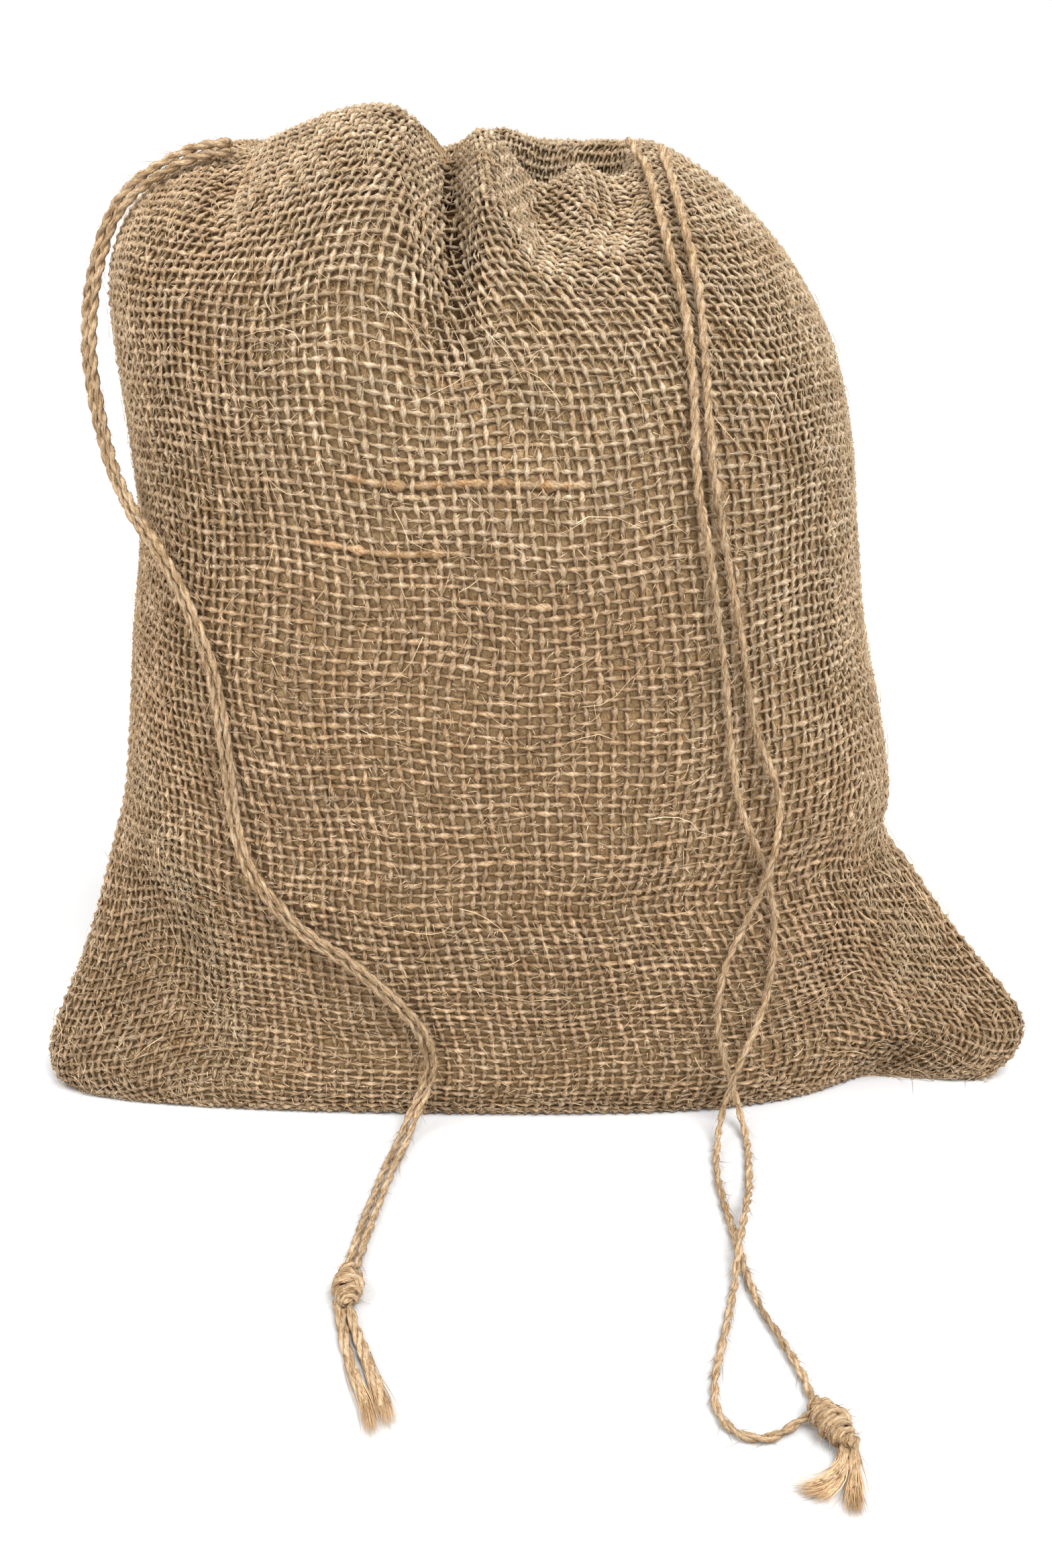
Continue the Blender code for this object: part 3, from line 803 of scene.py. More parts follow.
def read_tubes(piece, apart, step):
    """For each vertex: its tube, its ring, and its angle round the tube."""
    x, y, z = places_of(piece).T
    tube = np.rint(x / apart).astype(int)
    return tube, np.rint((y + step / 2) / step).astype(int), np.arctan2(z, x - tube * apart)


# %% Unevenness along a yarn
def wander(yarns, rings, reach, seed):
    """Numbers that drift along each yarn, about 0 and with a spread of 1."""
    noises = np.random.default_rng(seed).normal(size=(yarns, rings + 2 * reach))
    window = np.hanning(2 * reach + 1)
    window /= np.sqrt((window**2).sum())
    return np.stack([np.convolve(row, window, "valid")[:rings] for row in noises])


def strips(piece, yarn, ring, angle, yarns, rings, step):
    """Two maps. OFBake gives each yarn a strip of its own. On yarn_map the strip has its real
    length, in millimetres, and turns round the yarn, for the finish to wind its fibres along."""
    mesh = piece.data
    starts, counts = (read(mesh.polygons, field, kind=np.int32) for field in ("loop_start", "loop_total"))
    face_of = np.repeat(np.arange(len(counts)), counts)
    corner = corners_of(piece)
    yarn, ring = yarn[corner], ring[corner]
    share = np.mod(angle / TURN, 1.0)[corner]
    first = np.minimum.reduceat(share, starts)[face_of]
    share = np.where(share - first > 0.6, share - 1.0, share)
    lowest = np.minimum.reduceat(share, starts)[face_of]
    share = np.where(lowest < -1e-4, share + 1.0, share)
    across = (yarn + 0.04 + 0.92 * share / 1.2) / yarns
    mesh.uv_layers.active = add_map(piece, "OFBake", across, ring / (rings - 1))
    add_map(piece, "yarn_map", share + 7.0 * yarn, step * ring + 31.0 * yarn)


# %% Weaving and draping
def lay_yarn(warp, weft, side, lift, runs_up):
    """The point at a side step and a lift from the middle line of a yarn."""
    point, facing, sunk = on_cloth(warp, weft)
    ahead, back = (
        on_cloth(warp + (not runs_up) * reach, weft + runs_up * reach)[0] for reach in (0.2, -0.2)
    )
    sideways = unit(np.cross(unit(ahead - back), facing))
    lift = lift + CLOTH_MIDDLE - SUNK_DEPTH * sunk
    return point + sideways * side[:, None] + facing * lift[:, None]


def weave(name, kind, first, count, seed):
    """Warps, which run up the wall, over the crest and into the hem, or wefts, which run round the
    sack and close on themselves. first is the number of the first of them."""
    made = dict(zip(YARN_COLUMNS, YARNS[kind]))
    runs_up = kind == "warps"
    step, rings = made["other_pitch"] / 2, 2 * made["crossings"] + 1
    piece = straight_tubes(count, rings, made["pitch"], step, YARN_SIDES, YARN_RADIUS)
    yarn, ring, angle = read_tubes(piece, made["pitch"], step)
    edge = np.rint((angle - angle.max()) / (TURN / YARN_SIDES)).astype(int) % YARN_SIDES
    angle = YARN_ANGLES[edge]
    reach = made["reach"]
    tables = [wander(count, rings, reach + longer, seed + k) for k, longer in enumerate((0, 0, 1))]
    if not runs_up:
        fade = np.linspace(0, 1, JOINING_RINGS)
        for table in tables:
            end = table[:, -JOINING_RINGS:]
            end[:] = end * (1 - fade) + table[:, :1] * fade
    bulk, drift, shade = (table[yarn, ring] for table in tables)
    number, crossing = yarn + first, ring * 0.5
    floats = ring % 2 == 1
    over = np.where((number + ring // 2) % 2 == runs_up, -1.0, 1.0) * floats
    middle = number + 0.5 + DRIFT * drift
    if runs_up:
        warp, weft, slub, rust = middle, crossing, np.zeros(len(ring)), np.zeros(len(ring))
        apart = on_cloth(warp + 0.5, weft)[0] - on_cloth(warp - 0.5, weft)[0]
        room = SQUEEZED + BY_ROOM * (np.linalg.norm(apart, axis=1) / WARP_PITCH)
        room = np.clip(room, THINNEST, THICKEST)
    else:
        warp, weft = crossing, middle
        slub, rust = slub_share(number, warp)
        room = np.where(number < LOW_WEFTS, PACKED_WEFT, 1.0)
    thick = room * (1.0 + made["uneven"] * bulk + SLUB_BULK * slub)
    thick = thick * np.where(floats, FLOAT_BULK, DIVE_BULK + 0.2 * slub)
    side = np.cos(angle) * made["width"] * thick
    lift = np.sin(angle) * YARN_HEIGHT * thick + over * WAVE + SLUB_LIFT * slub
    places = set_places(piece, lay_yarn(warp, weft, side, lift, runs_up), YARN_FLOOR)
    strips(piece, yarn, ring, angle, count, rings, step)
    own = np.random.default_rng(seed + 9).normal(size=count)
    tone = uneven(made["tone"] + made["own_tone"] * own[yarn], 0.10, shade, 0.6, made["most"])
    felt, rust = FELTED * rubbed(places)[:, None], rust[:, None]
    tint = BURLAP * (1 - rust) + RUST * rust
    # The yarn's colour carries painted light and shade: paler towards the top and on the right, darker at
    # the foot, at the lower corners and where the yarn dives.
    paint(piece, (tint * (1 - felt) + FELT * felt) * tone * painted_light_and_shade(places) * painted_dive_shade(over))
    if runs_up:
        close_shell(piece, merge=0, caps=YARN_SIDES)
    else:
        close_shell(piece)
    return finish_piece(piece, name, yarn_finish)


# %% Slubs: thicker, browner stretches of a weft
SLUBS = named("height start end bulk rust", (  # up the cloth and across it, on the front
    (166.3, -46.0, 14.0, 2.3, 0.55),
    (150.5, -56.0, -14.0, 1.6, 0.38),
    (141.0, -24.0, 10.0, 1.4, 0.10),
))
SLUB_END = 10.0  # how long a slub takes to swell and to thin out, in millimetres


def slub_share(number, warp):
    """How thick and how brown the wefts are, over a plain one, at a count of warps across."""
    bulk, rust = np.zeros(len(number)), np.zeros(len(number))
    across = on_cloth(warp, number + 0.5)[0][:, 0]
    heights = height_of(np.arange(WEFTS))
    for slub in SLUBS:
        here = (number == np.argmin(np.abs(heights - slub["height"]))) & (warp > WARPS_PER_HALF)
        share = eased((across - slub["start"]) / SLUB_END) * eased((slub["end"] - across) / SLUB_END) * here
        lumps = 0.55 + 0.45 * np.sin(across * 1.1) * np.sin(across * 0.31 + 1.0)
        bulk += slub["bulk"] * share * lumps
        rust += slub["rust"] * share * (0.15 + 1.3 * lumps)
    return bulk, np.clip(rust, 0, 1)


half_up = WEFTS // 2
weave("back_warps", "warps", 0, WARPS_PER_HALF, seed=11)
weave("front_warps", "warps", WARPS_PER_HALF, WARPS_PER_HALF, seed=21)
weave("lower_wefts", "wefts", 0, half_up, seed=31)
weave("upper_wefts", "wefts", half_up, WEFTS - half_up, seed=41)

# %% [markdown]
# ## Stray fibres
# Jute sheds. Short stiff fibres stand off every yarn and blur the weave, most of all at the outline.
# One fibre is modelled, a long thin spike with a joint or more in it, then copied thousands of times
# and each copy is laid along the cloth with its own length, bend and lift.

# %% One fibre, and a field of them
FIBRE = 0.075  # the radius of a fibre at its root, in millimetres
TO_FRONT = 0.3  # the share of the back's fibres that goes to the front instead
ON_RUBBED, IN_HEM = 5, 4  # how many times as many more stand there


def spikes(count, joints):
    """Many copies of one tapering three-sided fibre, one unit long, along Z. Gives the piece and
    the place of each vertex on its own fibre."""
    deselect()
    bpy.ops.mesh.primitive_cone_add(vertices=3, radius1=1.0, radius2=0.0, depth=1.0, location=(0, 0, 0.5))
    piece = new_piece()
    for joint in range(joints):
        bpy.ops.object.mode_set(mode="EDIT")
        bpy.ops.mesh.select_all(action="SELECT")
        bpy.ops.mesh.bisect(plane_co=(0, 0, (joint + 1) / (joints + 1)), plane_no=(0, 0, 1))
        bpy.ops.object.mode_set(mode="OBJECT")
    size = len(piece.data.vertices)
    repeat(piece, count, (0, 0, 0))
    return piece, (places_of(piece) * MM).reshape(count, size, 3)


def fibre_maps(piece, flat, length):
    """Gives each fibre a cell of its own on OFBake and its length on yarn_map."""
    count, size = flat.shape[:2]
    cells = math.ceil(math.sqrt(count))
    own, corner = np.repeat(np.arange(count), size), corners_of(piece)
    tip = flat[..., 2].ravel()
    across = (own % cells + 0.2 + 0.6 * (flat[..., 0].ravel() * 0.4 + 0.5)) / cells
    up = (own // cells + 0.15 + 0.7 * tip) / cells
    run = (tip * length[own] + 3.0 * own)[corner]
    add_map(piece, "OFBake", across[corner], up[corner])
    add_map(piece, "yarn_map", 0 * run, run)
    return own


def comb(joints, root, heading, lift, bend, length, radius):
    """New fibres, each laid from its root along its heading, rising and bending on the way."""
    piece, flat = spikes(len(root), joints)
    along = flat[..., 2:3]
    side = unit(np.cross(heading, lift))
    rise = along * (1 - 0.35 * along)
    line = heading[:, None] * along + lift[:, None] * rise + bend[:, None] * along**2
    ring = side[:, None] * flat[..., 0:1] + unit(np.cross(side, heading))[:, None] * flat[..., 1:2]
    places = root[:, None] + line * length[:, None, None] + ring * radius[:, None, None]
    set_places(piece, places, FIBRE_FLOOR)
    return piece, fibre_maps(piece, flat, length)


def cloth_fibres(name, count, joints, reach, rise, seed, width=1.0, swing=0.28):
    """Stray fibres all over the cloth's outer side. reach and rise are lowest and highest values."""
    rng = np.random.default_rng(seed)
    warp = rng.uniform(0, AROUND, 2 * count)
    moved = (warp < WARPS_PER_HALF) & (rng.random(2 * count) < TO_FRONT)
    warp = np.where(moved, warp + WARPS_PER_HALF, warp)
    weft = rng.uniform(0.3, WEFTS - 3.0, 2 * count)
    weight = 1 + ON_RUBBED * rubbed(on_cloth(warp, weft)[0]) + IN_HEM * (weft > CREST_WEFT + 0.5)
    kept = rng.choice(2 * count, count, replace=False, p=weight / weight.sum())
    warp, weft = warp[kept], weft[kept]
    on_warp = rng.random(count) < 0.5
    warp = np.where(on_warp, np.floor(warp) + 0.5 + rng.normal(0, 0.12, count), warp)
    weft = np.where(on_warp, weft, np.floor(weft) + 0.5 + rng.normal(0, 0.12, count))
    point, facing, _ = on_cloth(warp, weft)
    across = unit(on_cloth(warp + 0.3, weft)[0] - on_cloth(warp - 0.3, weft)[0])
    up = unit(np.cross(facing, across))
    turn = rng.uniform(0, TURN, count)
    heading = turned(across, up, turn)
    lift = facing * rng.uniform(*rise, count)[:, None]
    bend = across * rng.normal(0, swing, count)[:, None] + up * rng.normal(0, swing, count)[:, None]
    bend = bend - facing * rng.uniform(0.1, 0.35, count)[:, None]
    root = point + facing * (CLOTH_MIDDLE + rng.uniform(0.1, 0.8, count))[:, None]
    length = rng.uniform(*reach, count) * np.where(weft > CREST_WEFT - 3.5, 0.4, 1.0)
    radius = width * FIBRE * rng.uniform(0.7, 1.5, count)
    piece, own = comb(joints, root, heading, lift, bend, length, radius)
    paint(piece, (STRAY * uneven(1.0, 0.18, rng.normal(size=count), 0.6, 1.5))[own])
    return finish_piece(piece, name, fibre_finish)


def laid_hairs(name, count, joints, reach, seed):
    """Long loose hairs that lie on the cloth and wander over it."""
    rng = np.random.default_rng(seed)
    step = rng.uniform(*reach, count) / (joints + 1)
    warp = rng.uniform(0, AROUND, count)
    weft = rng.uniform(8.0, WEFTS - 28.0, count)
    turn = rng.uniform(0, TURN, count)
    curl = rng.normal(0, 0.35, count)
    path = []
    for _ in range(joints + 2):
        point, facing, _ = on_cloth(warp, weft)
        path.append(point + facing * (CLOTH_MIDDLE + rng.uniform(1.25, 1.7, count))[:, None])
        warp, weft = warp + np.cos(turn) * step / WARP_PITCH, weft + np.sin(turn) * step / WEFT_PITCH
        turn = turn + curl + rng.normal(0, 0.25, count)
    path = np.stack(path, axis=1)
    ahead = unit(np.gradient(path, axis=1))
    side = unit(np.cross(ahead, [0.1, 0.2, 1.0]))
    over = np.cross(side, ahead)
    piece, flat = spikes(count, joints)
    own, level = np.arange(count)[:, None], np.rint(flat[..., 2] * (joints + 1)).astype(int)
    thick = FIBRE * rng.uniform(0.9, 1.6, count)[:, None, None]
    ring = side[own, level] * flat[..., 0:1] + over[own, level] * flat[..., 1:2]
    set_places(piece, path[own, level] + thick * ring, FIBRE_FLOOR)
    own = fibre_maps(piece, flat, step * (joints + 1))
    paint(piece, (STRAY * uneven(1.1, 0.15, rng.normal(size=count), 0.7, 1.5))[own])
    return finish_piece(piece, name, fibre_finish)


cloth_fibres("long_fibres", 8000, joints=2, reach=(2.0, 6.5), rise=(0.02, 0.35), seed=51, swing=0.75)
cloth_fibres("short_fibres", 36000, joints=0, reach=(0.8, 2.8), rise=(0.02, 0.55), seed=61, width=1.2)
laid_hairs("loose_hairs", 260, joints=7, reach=(9.0, 30.0), seed=66)

# %% [markdown]
# ## The strings
# Each string is two plies twisted round each other. A ply is made straight, from one short tube
# and an Array modifier, and then wound along the route that the string takes: out of the hem, over
# the cloth and along the floor to its knot.

# %% The routes, in millimetres
PAIR_SPACING = 1.9
TWIST_PITCH = 8.6
LEFT_ROUTE = (
    (-64.9, -15.0, 217.0), (-73.0, -13.0, 215.9), (-81.7, -11.0, 212.2), (-88.4, -10.0, 208.0),
    (-93.6, -9.5, 202.3), (-97.4, -9.7, 194.3), (-99.9, -10.0, 186.4), (-101.2, -10.5, 178.6),
    (-101.8, -11.0, 170.6), (-101.2, -12.0, 162.3), (-99.8, -14.0, 154.8), (-96.6, -20.0, 146.5),
    (-90.8, -28.6, 138.6), (-84.9, -35.7, 132.6), (-79.5, -41.3, 125.8), (-75.2, -46.8, 118.5),
    (-71.3, -51.3, 109.4), (-69.2, -54.3, 99.0), (-68.0, -57.0, 87.0), (-66.7, -59.5, 72.6),
    (-63.8, -62.2, 63.6), (-58.7, -64.9, 56.6), (-51.5, -67.2, 49.6), (-41.7, -69.2, 43.1),
    (-35.0, -70.3, 37.5), (-29.1, -70.8, 31.4), (-24.5, -71.1, 25.0), (-22.5, -71.5, 16.8),
    (-24.2, -72.3, 9.8), (-27.0, -75.5, 4.3), (-29.0, -81.5, 1.7), (-31.1, -89.9, 1.3),
    (-32.9, -100.3, 1.3), (-34.6, -110.8, 1.3), (-35.8, -119.8, 1.3), (-36.3, -126.0, 1.6),
)
RIGHT_ROUTE_ONE = (
    (23.5, -1.8, 217.9), (25.3, -8.0, 215.2), (26.9, -15.0, 212.6), (28.2, -25.0, 207.1),
    (29.5, -33.9, 201.3), (31.1, -39.6, 194.8), (33.1, -43.8, 188.0), (34.6, -48.4, 178.6),
    (35.5, -52.6, 168.0), (36.0, -56.3, 156.0), (37.0, -57.9, 147.8), (39.3, -58.6, 137.7),
    (41.4, -59.2, 125.1), (43.7, -59.8, 111.4), (45.0, -60.7, 101.0), (46.1, -61.8, 90.9),
    (48.6, -62.5, 79.0), (52.8, -61.9, 68.6), (56.0, -61.0, 60.4), (57.8, -61.5, 50.5),
    (57.8, -64.3, 39.4), (55.6, -67.4, 28.8), (52.1, -71.5, 21.5), (49.0, -73.9, 14.8),
    (47.0, -75.1, 8.6), (45.6, -78.4, 3.8), (44.4, -84.5, 1.8), (43.6, -92.1, 1.3),
    (43.8, -101.5, 1.3), (44.6, -109.9, 1.3), (45.3, -118.7, 1.3), (46.0, -127.2, 1.3),
    (47.5, -137.0, 1.3), (49.9, -145.0, 1.3), (52.0, -152.0, 1.3), (53.5, -158.3, 1.3),
    (54.0, -163.6, 1.6),
)
RIGHT_ROUTE_TWO = (
    (30.5, -6.8, 216.6), (31.9, -18.0, 211.4), (33.2, -27.0, 205.5), (34.5, -33.6, 199.6),
    (36.2, -39.2, 191.9), (37.2, -44.0, 184.4), (37.9, -49.5, 174.0), (38.6, -53.0, 164.4),
    (39.9, -55.5, 153.3), (41.7, -56.6, 143.6), (43.7, -57.1, 133.9), (45.9, -57.3, 124.4),
    (48.0, -57.4, 114.3), (49.8, -58.0, 103.6), (52.4, -58.5, 93.6), (56.0, -58.2, 85.8),
    (58.0, -59.0, 77.6), (57.2, -62.3, 69.6), (55.4, -64.5, 62.6), (51.8, -64.9, 52.9),
    (47.9, -66.3, 44.4), (45.3, -68.3, 35.0), (45.2, -69.6, 25.4), (47.0, -70.7, 17.0),
    (49.4, -71.4, 9.4), (51.0, -73.5, 4.0), (51.8, -79.0, 1.6), (51.4, -87.5, 1.3),
    (50.3, -97.0, 1.8), (48.8, -105.8, 3.6), (46.9, -114.0, 4.8), (45.1, -121.2, 4.4),
    (43.7, -127.8, 2.3), (42.2, -134.4, 1.3), (39.9, -143.3, 1.3), (37.4, -152.6, 1.3),
    (36.0, -158.8, 1.3), (35.7, -164.0, 1.3), (36.8, -168.4, 1.3), (39.3, -171.3, 1.3),
    (42.6, -172.3, 1.3), (46.0, -171.6, 1.3), (48.8, -169.7, 1.3), (50.9, -168.2, 1.6),
)
TAIL_ROUTES = {
    "left_tail_one": ((-37.4, -139.6, 1.6), (-35.4, -148.0, 1.3), (-33.1, -156.0, 1.3),
                      (-30.1, -163.5, 1.3), (-28.0, -171.5, 1.3)),
    "left_tail_two": ((-35.3, -139.7, 1.6), (-32.5, -147.8, 1.3), (-29.7, -155.8, 1.3),
                      (-26.7, -163.6, 1.3), (-25.2, -169.5, 1.3)),
    "right_tail_one": ((57.4, -176.3, 1.8), (56.2, -180.0, 1.6), (53.6, -182.9, 1.5),
                       (50.4, -184.2, 1.4), (48.0, -184.0, 1.4)),
    "right_tail_two": ((59.2, -176.6, 1.6), (58.6, -181.0, 1.3), (57.8, -185.0, 1.3),
                       (57.4, -188.8, 1.3)),
}


# %% Winding plies along a line
PLY_FLOOR = 0.06
PLIES_APART = 10.0  # on the loom, before they are wound
LOOSER, LOOSER_FROM, LOOSER_OVER = 0.28, 110.0, 60.0  # by how much, and from which height up
STRING_PLIES = {"plies": 2, "ply_width": 0.54, "offset": 0.36, "pitch": TWIST_PITCH}
KNOT_PLIES = {"plies": 2, "ply_width": 0.62, "offset": 0.42, "pitch": TWIST_PITCH}
TAIL_PLIES = {"plies": 3, "ply_width": 0.64, "offset": 0.60, "pitch": 15.0}


def length_of(line):
    return np.linalg.norm(np.diff(line, axis=0), axis=1).sum()


def frames_along(line):
    """Two directions square to the line at every point, carried along it without twisting."""
    ahead = unit(np.gradient(line, axis=0))
    first = unit(np.cross(ahead[0], [0.3, 0.2, 1.0]))
    firsts = [first]
    for direction in ahead[1:]:
        first = unit(first - direction * np.dot(first, direction))
        firsts.append(first)
    firsts = np.array(firsts)
    return ahead, firsts, np.cross(ahead, firsts)


def wind_plies(name, line, seed, plies, ply_width, offset, pitch, sides=6, step=0.62):
    """Twisted plies along a line, capped at both ends."""
    rings = max(4, int(length_of(line) / step) + 1)
    line = evenly(line, rings)
    ahead, first, second = frames_along(line)
    piece = straight_tubes(plies, rings, PLIES_APART, step, sides, ply_width)
    ply, ring, angle = read_tubes(piece, PLIES_APART, step)
    bulk, shade, loose = (wander(plies, rings, reach, seed + k) for k, reach in enumerate((8, 14, 20)))
    turn = TURN * (ring * step) / pitch + TURN * ply / plies + 0.25 * loose[0, ring]
    swell = 1.0 + LOOSER * eased((line[ring, 2] - LOOSER_FROM) / LOOSER_OVER)
    outward = turned(first[ring], second[ring], turn)
    sideways = np.cross(ahead[ring], outward)
    thick = ply_width * (1 + 0.10 * bulk[ply, ring]) * swell
    centre = line[ring] + outward * (offset * swell * (1 + 0.1 * loose[ply, ring]))[:, None]
    out, side = (np.cos(angle) * thick)[:, None], (np.sin(angle) * thick)[:, None]
    set_places(piece, centre + outward * out + sideways * side, PLY_FLOOR)
    strips(piece, ply, ring, angle, plies, rings, step)
    paint(piece, STRING * uneven(1.0, 0.09, shade[ply, ring], 0.7, 1.3))
    close_shell(piece, merge=0, caps=sides)
    return finish_piece(piece, name, string_finish)


# %% The lines that the strings follow
ROUTE_STEPS = 8
OFF_FRONT, OFF_FLOOR = np.array([-0.35, -1.0, 0.1]), np.array([0.0, 0.0, 1.0])


def in_frame(points):
    return np.array(points, float) - np.array([*BASE_CENTRE, 0.0])


def side_by_side(line, offset):
    """The line moved sideways over what it lies on: the sack's front, then the floor."""
    along = np.gradient(line, axis=0)
    on_floor = eased((20.0 - line[:, 2:3]) / 16.0)
    outward = (1 - on_floor) * OFF_FRONT + on_floor * OFF_FLOOR
    return line + offset * unit(np.cross(along, outward))


left_line = through_points(LEFT_ROUTE, ROUTE_STEPS)
into_knot = RIGHT_ROUTE_TWO + ((53.6, -167.4, 2.4), (55.6, -168.6, 3.0))
LINES = {
    "left_string_one": in_frame(side_by_side(left_line, PAIR_SPACING / 2)),
    "left_string_two": in_frame(side_by_side(left_line, -PAIR_SPACING / 2)),
    "right_string_one": in_frame(through_points(RIGHT_ROUTE_ONE, ROUTE_STEPS)),
    "right_string_two": in_frame(through_points(into_knot, ROUTE_STEPS)),
}

# %% The strings themselves
for number, (node, line) in enumerate(LINES.items()):
    wind_plies(node + "_twisted", line, 100 + 10 * number, **STRING_PLIES)
    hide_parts(node)


# %% [markdown]
# ## The knots and the frayed tails
# Each knot is an overhand knot pulled tight in both strands at once: they wind round each other
# in close turns, and one strand crosses back over them. The same winding helper lays them.
# Behind a knot each strand runs on for a finger's width, untwists, and ends in loose fibres.

# %% Helpers for joined pieces
def share_strips(piece, share, shift=0.0):
    """Keeps the piece's strips within a share of OFBake, clear of those that it is joined to."""
    layer = piece.data.uv_layers["OFBake"].data
    strip = read(layer, "uv", 2)
    strip[::2] = (strip[::2] + shift) * share
    write(layer, "uv", strip)


def join_pieces(pieces, name):
    deselect()
    for piece in pieces:
        piece.select_set(True)
    bpy.context.view_layer.objects.active = pieces[0]
    bpy.ops.object.join()
    pieces[0].name = name
    pieces[0].data.name = name
    pieces[0].select_set(False)
    return pieces[0]


# %% Knots
KNOTS = named("node middle heading length width height wraps", (
    ("left_knot", (-36.5, -132.8, 3.1), (0.0, -1.0), 12.4, 6.8, 5.6, 2.3),
    ("right_knot", (56.1, -170.3, 3.2), (0.42, -0.91), 12.8, 6.6, 5.8, 4.4),
))
KNOT_ENDS = 2.2  # how much of the knot's length its two rounded ends take
HALF_WRAP = 0.85  # from the middle of a wrap to its outside
CROSSING_TURNS = -0.62


def knot_line(knot, turns, start, reach, swell, lead):
    """A line that winds round the knot's length, from an angle and this far past both ends."""
    share = np.linspace(0, 1, 90)
    along = (share - 0.5) * (knot["length"] - KNOT_ENDS + 2 * lead) * reach
    rise = np.sin(np.pi * share) ** 0.6
    angle = start + TURN * turns * share
    across = np.cos(angle) * rise * (knot["width"] / 2 - HALF_WRAP) * swell
    up = np.sin(angle) * rise * (knot["height"] / 2 - HALF_WRAP) * swell
    heading = np.array([*knot["heading"], 0.0])
    sideways = np.array([-heading[1], heading[0], 0.0])
    middle = in_frame(knot["middle"])
    level = middle + heading * along[:, None] + sideways * across[:, None]
    return level + OFF_FLOOR * up[:, None]


knot_pieces, knot_lines = {}, {}
for number, knot in enumerate(KNOTS):
    node, turns = knot["node"], knot["wraps"]
    knot_lines[node] = [
        knot_line(knot, turns, 0.4, 1.0, 1.0, 0.6),
        knot_line(knot, turns, 2.5, 0.92, 1.0, 0.4),
        knot_line(knot, turns * 0.9, 4.6, 0.90, 0.8, 0.2),
        knot_line(knot, CROSSING_TURNS, 2.6, 0.80, 1.12, 0.3),
    ]
    wraps = []
    for k, line in enumerate(knot_lines[node]):
        wraps.append(wind_plies(f"{node}_wrap_{k}", line, 200 + 10 * number + k, **KNOT_PLIES))
        share_strips(wraps[-1], 1 / len(knot_lines[node]), k)
    knot_pieces[node] = join_pieces(wraps, node + "_wraps")
    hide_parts(node)

# %% Tails
INTO_KNOT = 3.6  # how far a tail starts inside its knot
FRAY_POINTS, FRAY_LEAD = 60, 22  # along a tail, and before the end of its twisted part
TWISTED_SHARE = 0.45  # of OFBake; the loose fibres have as much, from the middle on
TAILS = named("node whole fibres spread extra", (
    ("left_tail_one", 0.82, 170, 1.1, 2.0),
    ("left_tail_two", 0.80, 170, 1.1, 2.0),
    ("right_tail_one", 0.62, 260, 2.6, 2.0),
    ("right_tail_two", 0.66, 220, 1.7, 2.5),
))


def frayed_end(line, tail, seed):
    """Loose fibres that leave the twisted part and spread towards the end."""
    rng = np.random.default_rng(seed)
    count = tail["fibres"]
    piece, flat = spikes(count, 4)
    fine = evenly(line, FRAY_POINTS)
    start = int(FRAY_POINTS * tail["whole"]) - FRAY_LEAD
    along = flat[..., 2]
    place = start + along * (FRAY_POINTS - 1 - start) * rng.uniform(0.75, 1.0, count)[:, None]
    low = np.clip(np.floor(place).astype(int), 0, FRAY_POINTS - 2)
    centre = fine[low] + (fine[low + 1] - fine[low]) * (place - low)[..., None]
    ahead = unit(fine[-1] - fine[start])
    side = unit(np.cross(ahead, [0, 0, 1.0]))
    over = np.cross(side, ahead)
    spread = along**1.5 * tail["spread"]
    waves, start_wave = rng.uniform(3, 7, count)[:, None], rng.uniform(0, 6, count)[:, None]
    wave = np.sin(along * waves + start_wave) * 0.35 * along
    out_side = rng.normal(0, 0.42, count)[:, None] * (0.9 + spread) + wave
    out_up = rng.normal(0, 0.30, count)[:, None] * (0.9 + 0.45 * spread)
    reach = tail["extra"] * rng.random(count)[:, None] * along**2
    centre = centre + side * out_side[..., None] + over * out_up[..., None] + ahead * reach[..., None]
    ring = side * flat[..., 0:1] + over * flat[..., 1:2]
    width = rng.uniform(0.14, 0.26, count)[:, None, None]
    set_places(piece, centre + ring * width, PLY_FLOOR)
    own, corner = np.repeat(np.arange(count), flat.shape[1]), corners_of(piece)
    across = (own + 0.5 + 0.4 * flat[..., 0].ravel()) / count * TWISTED_SHARE + 0.5
    run = (10.0 * along.ravel() + 3.0 * own)[corner]
    add_map(piece, "OFBake", across[corner], along.ravel()[corner])
    add_map(piece, "yarn_map", 0 * run, run)
    paint(piece, (STRING * uneven(1.30, 0.22, rng.normal(size=count), 0.7, 1.8))[own])
    return finish_piece(piece, "fray", fibre_finish)


tail_pieces = {}
for number, tail in enumerate(TAILS):
    node = tail["node"]
    line = in_frame(through_points(TAIL_ROUTES[node], ROUTE_STEPS))
    line = np.vstack([line[0] - INTO_KNOT * unit(line[1] - line[0]), line])
    whole = line[: max(6, int(len(line) * tail["whole"]))]
    twisted = wind_plies(node + "_twisted", whole, 300 + 10 * number, **TAIL_PLIES)
    share_strips(twisted, TWISTED_SHARE)
    tail_pieces[node] = join_pieces([twisted, frayed_end(line, tail, 400 + number)], node + "_frayed")
    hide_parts(node)


# %% Fibres on the strings and knots
FIBRES_PER_MM = 2.2
STRING_FIBRE = 0.062  # the radius of a fibre at its root, in millimetres
STRING_OUTSIDE = 0.8  # how far a fibre starts from the string's middle line
LINE_POINTS, BARE_POINTS = 800, 5  # along a line, and at each end of it


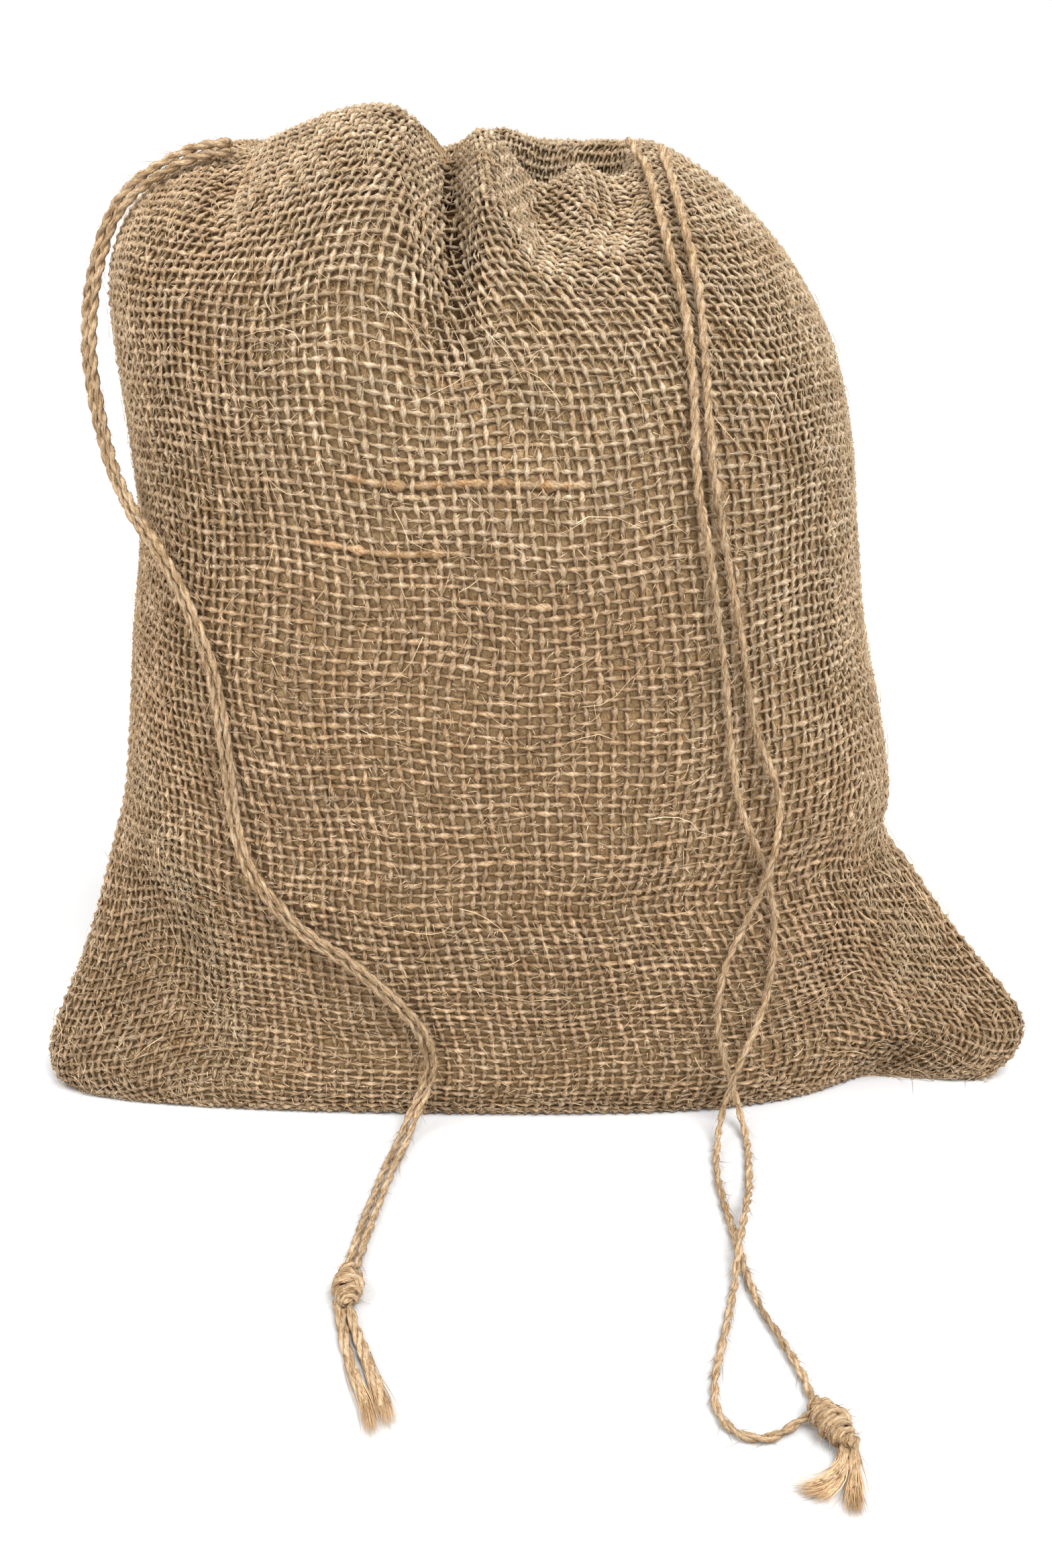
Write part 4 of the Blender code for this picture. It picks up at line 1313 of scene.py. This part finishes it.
def string_fibres(name, lines, seed):
    """Stray fibres along every line, most of them the way that the line runs."""
    rng = np.random.default_rng(seed)
    parts = []
    for line in lines:
        count = int(length_of(line) * FIBRES_PER_MM)
        fine = evenly(line, LINE_POINTS)
        ahead, first, second = frames_along(fine)
        place = rng.integers(BARE_POINTS, LINE_POINTS - BARE_POINTS, count)
        out = turned(first[place], second[place], rng.uniform(0, TURN, count))
        way = np.where(rng.random(count) < 0.8, 1.0, -1.0)[:, None]
        heading = unit(ahead[place] * way + 0.25 * rng.normal(size=(count, 3)))
        lift = out * rng.uniform(0.1, 0.6, count)[:, None]
        bend = 0.25 * rng.normal(size=(count, 3))
        parts.append((fine[place] + out * STRING_OUTSIDE, heading, lift, bend))
    root, heading, lift, bend = (np.concatenate(part) for part in zip(*parts))
    count = len(root)
    length = rng.uniform(1.2, 4.8, count)
    radius = STRING_FIBRE * rng.uniform(0.7, 1.4, count)
    piece, own = comb(1, root, heading, lift, bend, length, radius)
    paint(piece, (STRING * uneven(1.1, 0.16, rng.normal(size=count), 0.7, 1.5))[own])
    return finish_piece(piece, name, string_finish)


for side, seed in (("left", 71), ("right", 72)):
    lines = [LINES[side + "_string_one"], LINES[side + "_string_two"]] + knot_lines[side + "_knot"]
    string_fibres(side + "_string_fibres", lines, seed)

for node, line in LINES.items():
    side = node.split("_")[0]
    on_it = [knot_pieces[side + "_knot"]]
    if node.endswith("one"):
        on_it += [tail_pieces[side + "_tail_one"], tail_pieces[side + "_tail_two"]]

# %% [markdown]
# ## Floor and light
# A pale floor, a wide soft sun high on the right, and an even bright surround, so that the shade
# under the sack stays thin and the cloth's folds are drawn by soft gradients.

# %% Floor
FLOOR_SIZE = 6.0
deselect()
bpy.ops.mesh.primitive_plane_add(size=FLOOR_SIZE, location=(0, 0, 0))
floor = bpy.context.object
floor.name = "floor"
floor_finish = bpy.data.materials.new("pale floor")
floor_finish.use_nodes = True
floor_shader = floor_finish.node_tree.nodes["Principled BSDF"]
floor_shader.inputs["Base Color"].default_value = (0.54, 0.54, 0.54, 1)
floor_shader.inputs["Roughness"].default_value = 0.9
floor_shader.inputs["Specular IOR Level"].default_value = 0.1
floor.data.materials.append(floor_finish)

# %% Lights
LIT = Vector((0, 0, 0.10))
LIGHTS = named("name kind place size power", (
    ("key", "SUN", (0.36, -0.44, 1.12), math.radians(35.0), 3.8),
    ("fill", "AREA", (-0.70, -0.45, 0.80), 0.7, 6.0),
    ("back", "AREA", (0.1, 0.9, 0.9), 0.8, 5.0),
))
SURROUND = 1.02
for light in LIGHTS:
    aim = (LIT - Vector(light["place"])).to_track_quat("-Z", "Y").to_euler()
    bpy.ops.object.light_add(type=light["kind"], location=light["place"], rotation=aim)
    lamp = bpy.context.object
    lamp.name = light["name"]
    lamp.data.energy = light["power"]
    setattr(lamp.data, "angle" if light["kind"] == "SUN" else "size", light["size"])
world = bpy.data.worlds.new("surround")
bpy.context.scene.world = world
world.use_nodes = True
world.node_tree.nodes["Background"].inputs[0].default_value = (1.0, 1.0, 1.0, 1.0)
world.node_tree.nodes["Background"].inputs[1].default_value = SURROUND
bpy.context.scene.view_settings.view_transform = "Standard"
